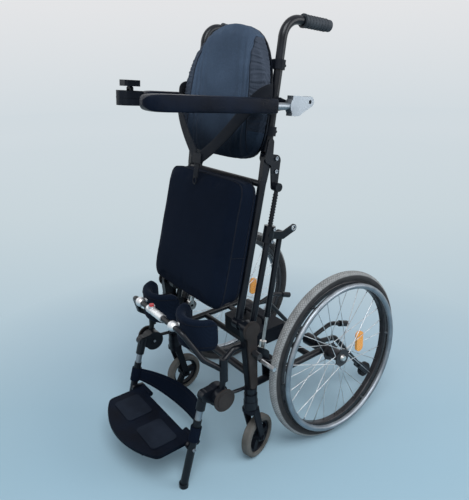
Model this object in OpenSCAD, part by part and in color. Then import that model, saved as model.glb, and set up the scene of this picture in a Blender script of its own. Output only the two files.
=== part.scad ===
// Standing wheelchair, drawn in its standing pose.
// X runs to the user's left, Y to the rear, Z up. Side pieces are drawn on the left and mirrored.

/* [Rear wheels] */
// Diameter over the tread
wheel_d = 610; // [560:1:620]
// Width of the tyre
tyre_w = 35; // [28:1:38]
// Height of the tyre over the rim
tyre_h = 33; // [30:1:38]
// Half the track, at the hubs
wheel_x = 297; // [294:1:312]
// Camber of each wheel
camber = 2.5; // [0:0.1:3]
// Width of the rim
rim_w = 24; // [18:1:28]
// Depth of the rim
rim_h = 20; // [14:1:26]
// Spokes in each wheel
spoke_count = 28; // [20:4:36]
// Diameter of a spoke
spoke_d = 2.4; // [1.8:0.1:3]
// Diameter of the hub barrel
hub_d = 40; // [32:1:48]
// Width over the hub
hub_w = 60; // [50:1:62]
// Diameter of the hub flanges
flange_d = 62; // [54:1:76]
// Diameter of the quick-release axle
axle_d = 12.7; // [10:0.1:16]
// Diameter of the handrim at the middle of its tube
handrim_d = 522; // [490:1:530]
// Diameter of the handrim's tube
handrim_tube = 19; // [16:1:22]
// Distance from the wheel's plane to the handrim's plane
handrim_gap = 33; // [30:1:40]
// Length of the spoke reflector
reflector_l = 78; // [60:1:90]
// Width of the spoke reflector
reflector_w = 34; // [24:1:40]

/* [Casters] */
// Diameter of the caster tyre
caster_d = 150; // [125:1:160]
// Width of the caster tyre
caster_w = 30; // [24:1:34]
// Distance of the caster stems from the middle
caster_x = 243; // [240:1:246]
// Distance of the caster stems ahead of the rear axle
caster_reach = 342; // [340:1:348]
// Distance of the caster's axle behind its stem
caster_trail = 36; // [28:1:40]
// Turn of the left caster at rest
caster_turn_left = 16; // [-30:1:30]
// Turn of the right caster at rest
caster_turn_right = 4; // [-30:1:30]
// Height of the bottom of the caster housing
housing_z = 214; // [208:1:220]
// Height of the caster housing
housing_h = 64; // [56:1:68]

/* [Chassis] */
// Distance of the side frames from the middle
frame_x = 244; // [244:0.5:246]
// Thickness of the uprights
upright_t = 24; // [20:1:24]
// Diameter of the side rails
rail_d = 24; // [20:1:26]
// Diameter of the main cross tubes
cross_d = 26; // [22:1:30]
// Length of the battery pack
battery_l = 140; // [120:1:150]
// Width of the battery pack
battery_w = 200; // [180:1:240]
// Height of the battery pack
battery_h = 58; // [50:1:70]
// Diameter of the anti-tip rollers
roller_d = 60; // [50:1:64]
// Distance of the anti-tip rollers behind the rear axle
roller_reach = 300; // [290:1:320]

/* [Seat lift] */
// Distance of the seat pivots ahead of the rear axle
knee_reach = 350; // [348:1:352]
// Height of the seat pivots
knee_z = 507; // [502:1:512]
// Length of the seat rails between their pivots
seat_l = 515; // [512:1:520]
// Lean of the seat rails from the vertical
seat_lean = 12.5; // [12:0.1:13]
// Distance of the seat rails from the middle
rail_x = 192; // [191:0.5:192]
// Diameter of the seat rails
seat_tube = 25; // [22:0.5:25]
// Distance of the push links from the middle
link_x = 216; // [216:0.5:217]
// Diameter of the push links
link_d = 20; // [17:0.5:21]
// Push link pivots behind the seat pivots
link_back = 21.5; // [20:0.5:24]
// Push link pivots below the seat pivots
link_drop = 85; // [83:1:88]
// Distance of the link clamp above the link's lower pivot
clamp_rise = 372; // [368:1:376]

/* [Cushions] */
// Width of the seat cushion
cushion_w = 420; // [400:1:428]
// Length of the seat cushion
cushion_l = 384; // [360:1:386]
// Mean thickness of the seat cushion
cushion_t = 78; // [60:1:82]
// Width of the back pad
back_w = 424; // [390:1:426]
// Thickness of the back pad
back_t = 50; // [40:1:52]
// Width of an arm pad
arm_pad_w = 54; // [46:1:58]
// Height of an arm pad
arm_pad_h = 40; // [34:1:44]
// Length of the left arm pad
arm_pad_left_l = 390; // [340:1:400]
// Length of the right arm pad
arm_pad_right_l = 180; // [150:1:182]

/* [Back] */
// Lean of the back canes from the vertical
back_lean = 9.8; // [8:0.1:11]
// Length of the canes from the hip pivot to the bend's corner
cane_l = 380; // [374:1:386]
// Radius of the bend below the grips
cane_bend = 55; // [48:1:60]
// Length of the cane behind the bend's corner
handle_l = 166; // [158:1:176]
// Rise of the handle against the cane's square
handle_rise = 3.8; // [0:0.1:8]
// Diameter of a push grip
grip_d = 33; // [30:0.5:36]
// Length of a push grip
grip_l = 106; // [95:1:108]
// Upward tilt of the armrests
arm_tilt = 4.6; // [0:0.1:6]
// Distance of the armrests from the middle
arm_x = 250; // [249:1:254]

/* [Leg rests] */
// Distance of the leg pivots ahead of the rear axle
leg_reach = 453; // [450:1:456]
// Height of the leg pivots
leg_z = 298; // [295:1:302]
// Lean of the leg tubes from the vertical
leg_lean = 16.3; // [15.5:0.1:17]
// Distance of the leg tubes from the middle
leg_x = 204; // [203:0.5:205]
// Leg tubes ahead of the leg pivots, square to the tubes
leg_offset = 47; // [46:1:49]
// Diameter of the lower posts
post_d = 26; // [23:0.5:27]
// Diameter of the bright leg tubes
leg_tube_d = 21; // [18:0.5:22]
// Distance of the footplate's front edge ahead of the rear axle
foot_reach = 715; // [700:1:725]
// Distance of the footplate's hinge ahead of the rear axle
foot_hinge = 522; // [520:1:524]
// Height of the footplate's middle
foot_z = 134; // [130:1:138]
// Thickness of the footplate
foot_t = 12; // [9:1:14]
// Height of the calf strap's sleeves
strap_h = 50; // [44:1:52]
// Sag of the calf strap behind the leg tubes
strap_sag = 110; // [104:1:120]

/* [Knee support] */
// Distance of the knee bar ahead of the rear axle
bar_reach = 535; // [532:1:538]
// Height of the knee bar
bar_z = 522; // [518:1:526]
// Diameter of the knee bar
bar_d = 18; // [15:0.5:19]
// Distance of the ball clamps from the middle
ball_x = 106; // [102:1:110]
// Diameter of the ball clamps
ball_d = 34; // [28:1:36]
// Height of a knee cup
cup_h = 112; // [90:1:114]
// Radius over a knee cup
cup_r = 86; // [80:1:87]
// Thickness of a knee cup
cup_t = 26; // [20:1:28]

/* [Hidden] */
$fn = 48;

// Fits and cuts
gap = 0.3;
run_fit = 0.05;
over = 2;

// Finishes
black_steel = "#15171b";
black_plastic = "#1b1d22";
cloth = "#10131c";
bright = "#c9ccd1";
taupe = "#4a433d";
rubber = "#232427";
tyre_grey = "#6f6f6d";
amber = "#e07a1c";
red = "#c01818";

// Wheel sections
wheel_r = wheel_d / 2;
crown_r = tyre_w / 2;
rim_r = wheel_r - tyre_h;
wheel_z = (wheel_r - crown_r) * cos(camber) + crown_r;
rim_edge = 5;
rim_well_r = 6;
groove_r = 1.6;
groove_turn = 28;
flange_t = 4;
flange_z = hub_w / 2 - flange_t;
spoke_ring_share = 0.42;
spoke_cross = 62;
spoke_sink = 3;
tab_count = 6;
tab_d = 8;
tab_turn_share = 0.5;
reflector_t = 9;
reflector_out = 13;
reflector_r = 15;
reflector_at = [-16, 112];
axle_r = axle_d / 2;
axle_cap_d = 24;
axle_cap_end_d = 18;
axle_cap_h = 8;
sleeve_d = 40;
sleeve_in = wheel_x - frame_x + rail_d / 2 - over;
sleeve_gap = 6;
sleeve_out = hub_w / 2 + sleeve_gap;

// Caster sizes
caster_r = caster_d / 2;
caster_lift = 0.8;
caster_axle_z = caster_r + caster_lift;
caster_tyre_h = 18;
caster_tyre_edge = 8;
caster_core_r = caster_r - caster_tyre_h;
caster_hub_d = 34;
caster_core_t = 9;
caster_web_t = 16;
caster_arm_w = 20;
caster_arms = 3;
caster_bolt_d = 10;
caster_nut_d = 16;
caster_nut_h = 5;
fork_t = 6;
fork_gap = 4;
fork_w = 28;
fork_foot_w = 22;
fork_in = caster_w / 2 + fork_gap;
crown_h = 14;
stem_d = 20;
stem_l = 44;
housing_d = 44;
housing_cap_d = 36;
housing_cap_h = 8;
housing_band_h = 30;
housing_band_d = 47;

// Chassis places: [distance behind the rear axle, height]
knee_at = [-knee_reach, knee_z];
caster_at = [-caster_reach, housing_z + housing_h];
frame_in = frame_x - upright_t / 2;
frame_out = frame_x + upright_t / 2;
rail_in = frame_x - rail_d / 2;
upright_top_r = 26;
upright_low_r = 15;
boss_h = 16;
boss_d = 42;
rail_z = 300;
link_low_at = knee_at + [link_back, -link_drop];
lift_set = [54.5, -37];
lift_low_at = link_low_at + lift_set;
pivot_r = 8;
pivot_boss_r = 14;
link_pin_r = 6;
lug_r = 15;
lug_t = 6;
rail_lug_r = 10;
leg_at = [-leg_reach, leg_z];
drum_r = 30;
drum_x = [222, 249];
leg_pin_r = 7;
hanger_x = 230;
hanger_r = 9.5;
hanger_bend = 22;
hanger_root_at = [-352, 446];
hanger_top_at = [-398, 449];
knee_pin_y = -437;
knee_pin_r = 7;
knee_pin_z = [352, 431];
knuckle_z = [380, 412];
knuckle_r = 13;
stay_r = 6;
cover_t = 6;
cover_top_r = 31;
cover_neck_r = 20;
cover_low_r = 14;
cover_rise = boss_h + cover_low_r + gap;
cover_rim = 1.5;
cover_rim_r = 27;
leg_cover_r = 37;
leg_cover_t = 7;
brake_at = [-262, 350];
brake_lug_t = 6;
brake_lug_r = 12;
brake_plate_t = 6;
brake_pin_r = 5;
brake_pin_l = 14;
brake_peg_at = [-320, 395];
brake_peg_r = 7;
brake_peg_l = 64;
brake_hand_at = [-344, 430];
brake_hand_r = 10;
brake_hand_l = 30;
cross_front_at = [-340, 338];
cross_mid_at = [-190, 300];
cross_rear_at = [-70, 300];
cross_thin_d = 22;
battery_r = 14;
battery_lid_h = 18;
battery_seam = 1.2;
battery_y = (cross_mid_at[0] + cross_rear_at[0]) / 2;
battery_z = cross_mid_at[1] + cross_thin_d / 2;
handle_w = 110;
handle_bar_r = 6;
handle_bar_rise = 22;
handle_bar_bend = 12;

// Anti-tip sizes
tip_arm_x = 196;
tip_arm_r = 9.5;
tip_bend = 40;
tip_ring_d = 44;
tip_ring_w = 26;
roller_lift = 36;
roller_at = [roller_reach, roller_d / 2 + roller_lift];
roller_w = 20;
roller_pin_r = 5;
roller_edge = 4;
tip_knee_at = [104, 289];
tip_lever_x = 166;
tip_lever_r = 8;
tip_lever_at = [112, 333];
tip_lever_bend = 70;
tip_end_at = [205, 300];
tip_sleeve_r = 12;
tip_sleeve_l = 46;
tip_fork_t = 5;
tip_fork_r = 13;
tip_root_share = 0.6;
tip_root_at = roller_at + roller_d * tip_root_share * [-1, 1];

// The model is centred front to back, between the footplate's front edge and the rollers
axle_y = (foot_reach - roller_reach - roller_d / 2) / 2;

// Seat places
seat_r = seat_tube / 2;
barrel_r = 18;
barrel_w = 26;
hip_barrel_r = 15;
hip_barrel_w = 16;
hip_tongue_l = 66;
hip_tongue_r = 11;
hip_pin_r = 6;
ear_t = 5;
seat_cross_r = 10;
seat_cross_shares = [0.21, 0.55, 0.85];
pan_w = 330;
pan_t = 5;
pan_span = [70, 446];
pan_r = 24;
pan_hole_r = 26;
pan_hole_pitch = [100, 84];
pan_holes = [3, 4];
cushion_from = 62;
cushion_wedge_share = 0.137;
cushion_lip = 34;
cushion_power = 9;
pad_draw_share = 0.012;
hip_at = knee_at + seat_l * [sin(seat_lean), cos(seat_lean)];

// Push link places, along and behind the link
link_r = link_d / 2;
link_eye_r = 13;
link_eye_w = 20;
link_rod_r = 6.5;
link_rib_r = 8;
link_rib_h = 4;
clamp_h = 52;
link_rib_count = 11;
link_rib_pitch = (seat_l - clamp_rise - clamp_h / 2 - link_eye_r) / (link_rib_count + 1);
clamp_r = 17.5;
clamp_bolt_r = 4;
clamp_bolt_l = 42;
clamp_bolt_rise = 19;
clamp_plate_t = 5;
clamp_plate_r = 12;
clamp_gap = 0.8;
clamp_ring_at = [85, 24];
clamp_ring_bore_r = 5;
link_pin_top_r = 5;

// Lift screw and tube, between the gusset and the link clamp
lift_head = 47;
lift_vector = link_low_at - lift_low_at + clamp_rise * [sin(seat_lean), cos(seat_lean)]
    + lift_head * [cos(seat_lean), -sin(seat_lean)];
lift_l = norm(lift_vector);
lift_lean = atan2(lift_vector[0], lift_vector[1]);
screw_r = 5;
screw_l = 240;
gear_r = 20;
gear_w = 20;
gear_neck_r = 11;
gear_neck_l = 38;
lift_tube_r = 9;
lift_tube_from = 124;
lift_collar_r = 11;
lift_collar_h = 14;
lift_eye_r = 13;
lift_eye_w = 20;

// Back places, up and behind the canes
cane_r = 12.5;
cane_from = 18;
ear_r = 15;
ear_rise = 46;
ear_top_r = 11;
leaf_at = [27, -6];
leaf_top_r = 19;
leaf_low_r = 12;
leaf_bolt_r = 5;
leaf_bolt_h = 2;
leaf_bolts_at = [[27, 2], [32, -36]];
link_top_local = [link_back * cos(back_lean) + link_drop * sin(back_lean),
    link_back * sin(back_lean) - link_drop * cos(back_lean)];
grip_r = grip_d / 2;
grip_over = 6;
grip_rib_count = 7;
grip_rib_r = 1.5;
grip_rib_pitch = 12;
grip_rib_from = 16;
grip_lip = 2.5;
grip_lip_h = 6;
shell_t = 5;
shell_at_cane = -15.7;
shell_bow_r = 704;
shell_set = shell_at_cane + shell_bow_r - sqrt(shell_bow_r * shell_bow_r - rail_x * rail_x);
pad_lift = 0.5;
front_share = 0.95;
shell_margin = 7;
back_mid = 138;
back_up = 238;
back_low = 162;
back_up_power = 2.1;
back_low_power = 3.5;
back_crown = 12;
back_edge_share = 0.35;
pleat_d = 5;
pleat_w = 12;
pleat_share = 0.3;
collar_r = 18;
collar_h = 26;
collar_z = [77, 258];
collar_bolt_r = 4;
collar_bolt_l = 24;
shell_foot_w = 22;
shell_foot_in = 10;
shell_foot_y = 26;
arm_pivot_at = [28, 153];
arm_collar_h = 34;
arm_pivot_r = 7;
arm_boss_r = 13;
arm_lug_t = 12;
belt_w = 36;
belt_t = 3;
belt_steps = 14;
belt_path = [[214.6, -30, 185], [222, -98, 178], [140, -92, 58], [26, -108, -20]];
tail_path = [[0, -108, -46.8], [0, -109, -60], [1, -111, -72], [3, -113, -92]];
tail_w = 24;
buckle_at = [0, -108, -30];
buckle_size = [44, 10, 30];
buckle_r = 5;

// Armrest places, along the armrest
bracket_t = 24;
bracket_r = 27;
bracket_front = -20;
bracket_nose_at = [46, 12];
bracket_nose_r = 15;
bracket_wall = 6;
bracket_hole_r = 5.5;
arm_rod_r = 9.5;
arm_rod_l = 61;
arm_rod_z = -2;
arm_rod_right_l = 12;
arm_pad_power = 5;
arm_pad_share = 0.9;
box_l = 88;
box_w = 58;
box_h = 46;
box_r = 25;
box_top = 16;
box_lip = 3;
paddle_l = 54;
paddle_w = 52;
paddle_t = 19;
paddle_r = 9;
paddle_rise = 7.5;
paddle_pin_r = 3;
paddle_lug_r = 5.5;
paddle_lug_w = 16;
paddle_post_t = 6;

// Leg places, along the leg tubes
leg_lug_x = [194, hanger_x - hanger_r - gap];
leg_lug_r = 36;
leg_lug_low_r = 17;
leg_socket_r = 15;
leg_socket_z = [-50, 12];
leg_bright_z = -85;
sole_r = 15;
sole_h = 16;
sole_lift = 8;
post_floor_z = -(leg_z + leg_offset * sin(leg_lean)) / cos(leg_lean);
post_at_foot = (foot_z - leg_z - leg_offset * sin(leg_lean)) / cos(leg_lean);
foot_post_y = leg_at[0] - leg_offset * cos(leg_lean) + post_at_foot * sin(leg_lean);
foot_arm_x = [185, 195];
foot_arm_r = 13;
foot_ear_r = 9;
foot_pin_r = 4;
foot_pin_in = 165;
foot_barrel_in = 120;
foot_front_r = 300;
foot_corner_r = 26;
foot_side_gap = 7;
foot_w = 2 * (foot_arm_x[0] - foot_side_gap);
foot_corner_y = foot_front_r - foot_reach
    - sqrt(pow(foot_front_r - foot_corner_r - gap, 2) - pow(foot_w / 2 - foot_corner_r, 2));
foot_rear_y = -533;
foot_rib_w = 8;
foot_rib_h = 8;
foot_rib_pitch = 60;
foot_rib_span = [-684, -540];
foot_ribs = 5;
foot_grip_t = 2;
foot_grip_w = 120;
foot_grip_l = 92;
foot_grip_r = 14;
foot_grip_at = [84, -610];
strap_t = 5;
strap_top_z = -108;
strap_drop = 44;
strap_rise = 8;
strap_sleeve_r = 18;

// Knee support places
bar_r = bar_d / 2;
bar_bend = 34;
bar_root_z = 388;
bar_low_lead = 39;
bar_low_at = [208, bar_low_lead - bar_reach, 438];
bar_mid_at = [150, -bar_reach, bar_z];
coupling_r = 13;
coupling_l = 46;
coupling_neck_r = 12;
coupling_lip_l = 10;
coupling_band_l = 33;
button_r = 8;
button_h = 9;
button_boss_r = 11;
button_boss_h = 17;
button_pocket_h = 8;
button_sunk = 4;
button_x = 27;
cup_clear = 4;
cup_drop = 26;
cup_out = 6;
cup_lobe_r = 36;
cup_at = [ball_x + cup_out, -bar_reach + ball_d / 2 + cup_r + cup_clear, bar_z - cup_drop];
cup_edge = 11;
cup_sweep = 184;
cup_rear = -cup_r * cos(cup_sweep / 2);
cup_stem_r = 7;

// Frames of reference
module left() { translate([0, axle_y, 0]) children(); }
module right() { left() mirror([1, 0, 0]) children(); }
module both() {
    left() children();
    right() children();
}
// A flat outline in (Y, Z), given thickness along X from x
module plate(x, t) { translate([x, 0, 0]) rotate([90, 0, 90]) linear_extrude(t) children(); }
module seat_place() { translate([0, knee_at[0], knee_at[1]]) rotate([-seat_lean, 0, 0]) children(); }
module link_place() { translate([link_x, link_low_at[0], link_low_at[1]]) rotate([-seat_lean, 0, 0])
    children(); }
module lift_place() { translate([link_x, lift_low_at[0], lift_low_at[1]]) rotate([-lift_lean, 0, 0])
    children(); }
module back_place() { translate([0, hip_at[0], hip_at[1]]) rotate([-back_lean, 0, 0]) children(); }
module arm_place() {
    back_place() translate([arm_x, arm_pivot_at[0], arm_pivot_at[1]]) rotate([back_lean - arm_tilt, 0, 0])
        children();
}
module leg_place() { translate([0, leg_at[0], leg_at[1]]) rotate([-leg_lean, 0, 0]) children(); }
module wheel_place() { translate([wheel_x, 0, wheel_z]) rotate([0, 90 - camber, 0]) children(); }
module caster_place(turn) { translate([caster_x, -caster_reach, 0]) rotate([0, 0, turn]) children(); }
module caster_axle() { translate([0, caster_trail, caster_axle_z]) rotate([0, 90, 0]) children(); }

// Building blocks
function unit(v) = v / norm(v);
function heading(p, i) = unit(p[i + 1] - p[i]);
function turn_at(p, i) = acos(heading(p, i - 1) * heading(p, i));
function trim_at(p, i, bend) = i == 0 || i == len(p) - 1 ? 0 : bend * tan(turn_at(p, i) / 2);
function at_x(x, at) = [x, at[0], at[1]];

// A round bar along X
module pin(x, at, l, r) { translate(at_x(x, at)) rotate([0, 90, 0]) cylinder(h = l, r = r); }

module rod(a, b, r) {
    d = b - a;
    translate(a) rotate([0, acos(d[2] / norm(d)), atan2(d[1], d[0])]) cylinder(h = norm(d), r = r);
}

// A round bend between two straight bars, a hair thicker than the bars that run into it
module elbow(p, i, r, bend) {
    d1 = heading(p, i - 1);
    d2 = heading(p, i);
    inward = unit(d2 - d1 * (d1 * d2));
    c = p[i] - d1 * trim_at(p, i, bend) + inward * bend;
    z = cross(-inward, d1);
    multmatrix([[-inward[0], d1[0], z[0], c[0]],
                [-inward[1], d1[1], z[1], c[1]],
                [-inward[2], d1[2], z[2], c[2]]])
        rotate_extrude(angle = turn_at(p, i)) translate([bend, 0]) circle(r + gap);
}

// A round bar along points, with round elbows
module bent_tube(p, r, bend) {
    last = len(p) - 2;
    for (i = [0 : last]) rod(p[i] + heading(p, i) * (trim_at(p, i, bend) - (i > 0 ? over : 0)),
                             p[i + 1] - heading(p, i) * (trim_at(p, i + 1, bend) - (i < last ? over : 0)),
                                 r);
    for (i = [1 : last]) elbow(p, i, r, bend);
}

// Two circles and the straight sides between them, which cross the circles just inside
side_share = 0.985;
module tapered(a, ra, b, rb) {
    u = unit(b - a);
    across = [-u[1], u[0]] * side_share;
    translate(a) circle(ra);
    translate(b) circle(rb);
    polygon([a + ra * across, b + rb * across, b - rb * across, a - ra * across]);
}

module rounded(w, l, r) {
    square([w - 2 * r, l], center = true);
    square([w, l - 2 * r], center = true);
    for (x = [-1, 1], y = [-1, 1]) translate([x * (w / 2 - r), y * (l / 2 - r)]) circle(r);
}

// Padded forms: closed rings of points, from the middle of the back face to the middle of the front face.
// Each share pair is [inset, depth] over the thickness; the sides draw in between two swells.
pad_sides = 40;
pad_shares = [[0.9, 0], [0.1, 0], [0.02, 0.07], [0, 0.2], [0.04, 0.48], [0, 0.74], [0.05, 0.9], [0.22,
    0.99],
    [0.8, 1.03], [1.5, 1.06]];
function bulge(a, e) = sign(a) * pow(abs(a), 2 / e);
function pad_turn(i) = 360 * (i + 0.5) / pad_sides;
function pad_ring(w, l, e, y) = [for (i = [0 : pad_sides - 1]) let (a = pad_turn(i))
    [w / 2 * bulge(cos(a), e), y, l / 2 * bulge(sin(a), e)]];
function middle(ring) = [for (k = [0 : 2]) [for (p = ring) p[k]] * [for (p = ring) 1] / len(ring)];

module pad_form(rings) {
    n = pad_sides;
    last = (len(rings) - 1) * n;
    sides = [for (k = [0 : len(rings) - 2], i = [0 : n - 1]) let (a = k * n, j = (i + 1) % n)
        each [[a + i, a + j, a + n + j], [a + i, a + n + j, a + n + i]]];
    ends = [for (i = [0 : n - 1]) let (j = (i + 1) % n)
        each [[j, i, last + n], [last + i, last + j, last + n + 1]]];
    points = concat([for (ring = rings) each ring], [middle(rings[0]), middle(rings[len(rings) - 1])]);
    polyhedron(points, concat(sides, ends));
}

// A flat strap along a curve, its width standing up
function curve_at(p, t) = pow(1 - t, 3) * p[0] + 3 * t * pow(1 - t, 2) * p[1] + 3 * t * t * (1 - t) * p[2]
    + pow(t, 3) * p[3];
function curve_dir(p, t) = unit(pow(1 - t, 2) * (p[1] - p[0]) + 2 * t * (1 - t) * (p[2] - p[1])
    + t * t * (p[3] - p[2]));
function strap_section(p, t, w, thick, up) =
    let (c = curve_at(p, t), d = curve_dir(p, t), a = unit(up - d * (d * up)) * w / 2,
         b = unit(cross(d, a)) * thick / 2) [c - a - b, c + a - b, c + a + b, c - a + b];
module strap(p, w, thick, up) {
    n = belt_steps;
    sides = [for (k = [0 : n - 1], i = [0 : 3]) let (j = (i + 1) % 4, a = 4 * k)
        each [[a + i, a + j, a + 4 + j], [a + i, a + 4 + j, a + 4 + i]]];
    ends = [[0, 3, 2], [0, 2, 1], [4 * n, 4 * n + 1, 4 * n + 2], [4 * n, 4 * n + 2, 4 * n + 3]];
    polyhedron([for (k = [0 : n]) each strap_section(p, k / n, w, thick, up)], concat(sides, ends));
}

// Side frames: upright, side rail, gusset, leg-rest hanger, brake lug and axle sleeve
module frame_plates() {
    plate(frame_in, upright_t) tapered(knee_at, upright_top_r, caster_at + [0, boss_h], upright_low_r);
    plate(frame_in, lug_t) {
        tapered(link_low_at, lug_r, [caster_at[0], link_low_at[1]], lug_r);
        tapered(lift_low_at, lug_r, link_low_at, lug_r);
        tapered(lift_low_at, lug_r, [lift_low_at[0], rail_z], rail_lug_r);
    }
    plate(frame_x, frame_out + brake_lug_t - frame_x) tapered(brake_at, brake_lug_r, [brake_at[0],
        rail_z], rail_lug_r);
    translate([caster_x, -caster_reach, caster_at[1]]) cylinder(h = boss_h, d = boss_d);
}

module frame_pins() {
    boss_x = rail_x + barrel_w / 2 + gap;
    eye_x = link_x - link_eye_w / 2;
    pin(boss_x, knee_at, frame_out - boss_x, pivot_boss_r);
    pin(rail_x - barrel_w / 2, knee_at, barrel_w + over, pivot_r);
    pin(eye_x, link_low_at, frame_in - eye_x, link_pin_r);
    pin(eye_x, lift_low_at, frame_in - eye_x, link_pin_r);
    pin(frame_out, brake_at, brake_pin_l, brake_pin_r);
}

module hanger() {
    top = [hanger_x, knee_pin_y, knuckle_z[1] + hanger_r + gap];
    bent_tube([at_x(hanger_x, hanger_root_at), at_x(hanger_x, hanger_top_at), top], hanger_r, hanger_bend);
    translate([hanger_x, knee_pin_y, knuckle_z[1] + gap])
        cylinder(h = knee_pin_z[1] - knuckle_z[1] - gap, r = knuckle_r);
    translate([hanger_x, knee_pin_y, knee_pin_z[0]]) {
        cylinder(h = knuckle_z[0] - gap - knee_pin_z[0], r = knuckle_r);
        cylinder(h = knee_pin_z[1] - knee_pin_z[0], r = knee_pin_r);
    }
    rod([hanger_x, knee_pin_y, knuckle_z[0] - knuckle_r], at_x(hanger_x, leg_at), hanger_r);
    rod(at_x(hanger_x, leg_at), at_x(hanger_x, caster_at + [0, boss_h / 2]), stay_r);
    pin(drum_x[0], leg_at, drum_x[1] - drum_x[0], drum_r);
    pin(leg_lug_x[0], leg_at, drum_x[0] - leg_lug_x[0], leg_pin_r);
}

module side_frame() {
    difference() {
        union() {
            frame_plates();
            frame_pins();
            hanger();
            rod([frame_x, -caster_reach, rail_z], [frame_x, 0, wheel_z], rail_d / 2);
            pin(rail_in, [0, wheel_z], rail_d / 2, sleeve_d / 2);
            wheel_place() translate([0, 0, -sleeve_in]) cylinder(h = sleeve_in - sleeve_out, d = sleeve_d);
        }
        wheel_place() translate([0, 0, -sleeve_in]) cylinder(h = sleeve_in, r = axle_r);
    }
}
module side_frame_left() { color(black_steel) left() side_frame(); }
module side_frame_right() { color(black_steel) right() side_frame(); }

module cross_tube(at, d, half) { pin(-half, at, 2 * half, d / 2); }
module cross_tubes() {
    color(black_steel) left() {
        cross_tube([0, wheel_z], cross_d, rail_in);
        cross_tube(cross_front_at, cross_d, frame_in);
        cross_tube(cross_mid_at, cross_thin_d, rail_in);
        cross_tube(cross_rear_at, cross_thin_d, rail_in);
    }
}

module pivot_covers() {
    color(taupe) both() {
        plate(frame_out, cover_t) {
            translate(knee_at) circle(cover_top_r);
            tapered(knee_at, cover_neck_r, caster_at + [0, cover_rise], cover_low_r);
        }
        pin(frame_out + cover_t, knee_at, cover_rim, cover_rim_r);
        pin(drum_x[1], leg_at, leg_cover_t, leg_cover_r);
        pin(drum_x[1] + leg_cover_t, leg_at, cover_rim, cover_rim_r);
    }
}

module battery_pack() {
    color(black_plastic) left() translate([0, battery_y, battery_z]) {
        difference() {
            linear_extrude(battery_h) rounded(battery_w, battery_l, battery_r);
            translate([0, 0, battery_h - battery_lid_h]) linear_extrude(battery_seam) difference() {
                square([battery_w + over, battery_l + over], center = true);
                rounded(battery_w - 2 * battery_seam, battery_l - 2 * battery_seam, battery_r);
            }
        }
        bent_tube([[-handle_w / 2, 0, battery_h - over], [-handle_w / 2, 0, battery_h + handle_bar_rise],
                   [handle_w / 2, 0, battery_h + handle_bar_rise], [handle_w / 2, 0, battery_h - over]],
                  handle_bar_r, handle_bar_bend);
    }
}

module anti_tip_arm() {
    lever_end = at_x(tip_lever_x, tip_end_at);
    fork_x = tip_arm_x - roller_w / 2 - gap - tip_fork_t;
    fork_w = roller_w + 2 * (gap + tip_fork_t);
    difference() {
        union() {
            pin(tip_lever_x - tip_ring_w / 2, [0, wheel_z], tip_arm_x - tip_lever_x + tip_ring_w,
                tip_ring_d / 2);
            bent_tube([[tip_arm_x, 0, wheel_z], at_x(tip_arm_x, tip_knee_at), at_x(tip_arm_x, tip_root_at)],
                      tip_arm_r, tip_bend);
            bent_tube([[tip_lever_x, 0, wheel_z], at_x(tip_lever_x, tip_lever_at), lever_end],
                      tip_lever_r, tip_lever_bend);
        }
        pin(0, [0, wheel_z], frame_x, cross_d / 2);
    }
    rod(lever_end, lever_end + tip_sleeve_l * unit(at_x(0, tip_lever_at - tip_end_at)), tip_sleeve_r);
    for (x = [fork_x, fork_x + fork_w - tip_fork_t])
        plate(x, tip_fork_t) tapered(roller_at, tip_fork_r, tip_root_at, tip_fork_r);
    pin(fork_x, tip_root_at, fork_w, tip_fork_r);
    pin(fork_x, roller_at, fork_w, roller_pin_r);
}
module anti_tip_arms() { color(black_steel) both() anti_tip_arm(); }

module roller() {
    inner_r = roller_pin_r + run_fit;
    translate(at_x(tip_arm_x, roller_at)) rotate([0, 90, 0]) rotate_extrude()
        translate([(roller_d / 2 + inner_r) / 2, 0]) rounded(roller_d / 2 - inner_r, roller_w, roller_edge);
}
module roller_left() { color(rubber) left() roller(); }
module roller_right() { color(rubber) right() roller(); }

// Casters
module caster_housings() {
    color(black_steel) both() translate([caster_x, -caster_reach, housing_z]) difference() {
        union() {
            cylinder(h = housing_h - housing_cap_h, d = housing_d);
            cylinder(h = housing_h, d = housing_cap_d);
            cylinder(h = housing_band_h, d = housing_band_d);
        }
        translate([0, 0, -over]) cylinder(h = stem_l + 2 * over, r = stem_d / 2 + run_fit);
    }
}

module fork_leg(x) {
    plate(x, fork_t) tapered([caster_trail, caster_axle_z], fork_foot_w / 2,
                             [0, housing_z - gap - crown_h / 2], fork_w / 2);
}
module caster_fork() {
    axle_at = [caster_trail, caster_axle_z];
    crown_z = housing_z - gap - crown_h;
    outside = fork_in + fork_t;
    difference() {
        union() {
            fork_leg(fork_in);
            fork_leg(-outside);
            translate([0, 0, crown_z]) linear_extrude(crown_h) rounded(2 * outside, housing_d, fork_w / 2);
        }
        translate([0, 0, housing_z - gap]) linear_extrude(crown_h) square(2 * housing_d, center = true);
    }
    translate([0, 0, crown_z]) cylinder(h = crown_h + stem_l, d = stem_d);
    pin(-outside, axle_at, 2 * outside, caster_bolt_d / 2);
    pin(-outside - caster_nut_h, axle_at, caster_nut_h, caster_nut_d / 2);
    pin(outside, axle_at, caster_nut_h, caster_nut_d / 2);
}
module caster_fork_left() { color(black_plastic) left() caster_place(caster_turn_left) caster_fork(); }
module caster_fork_right() { color(black_plastic) right() caster_place(-caster_turn_right) caster_fork(); }

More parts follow.
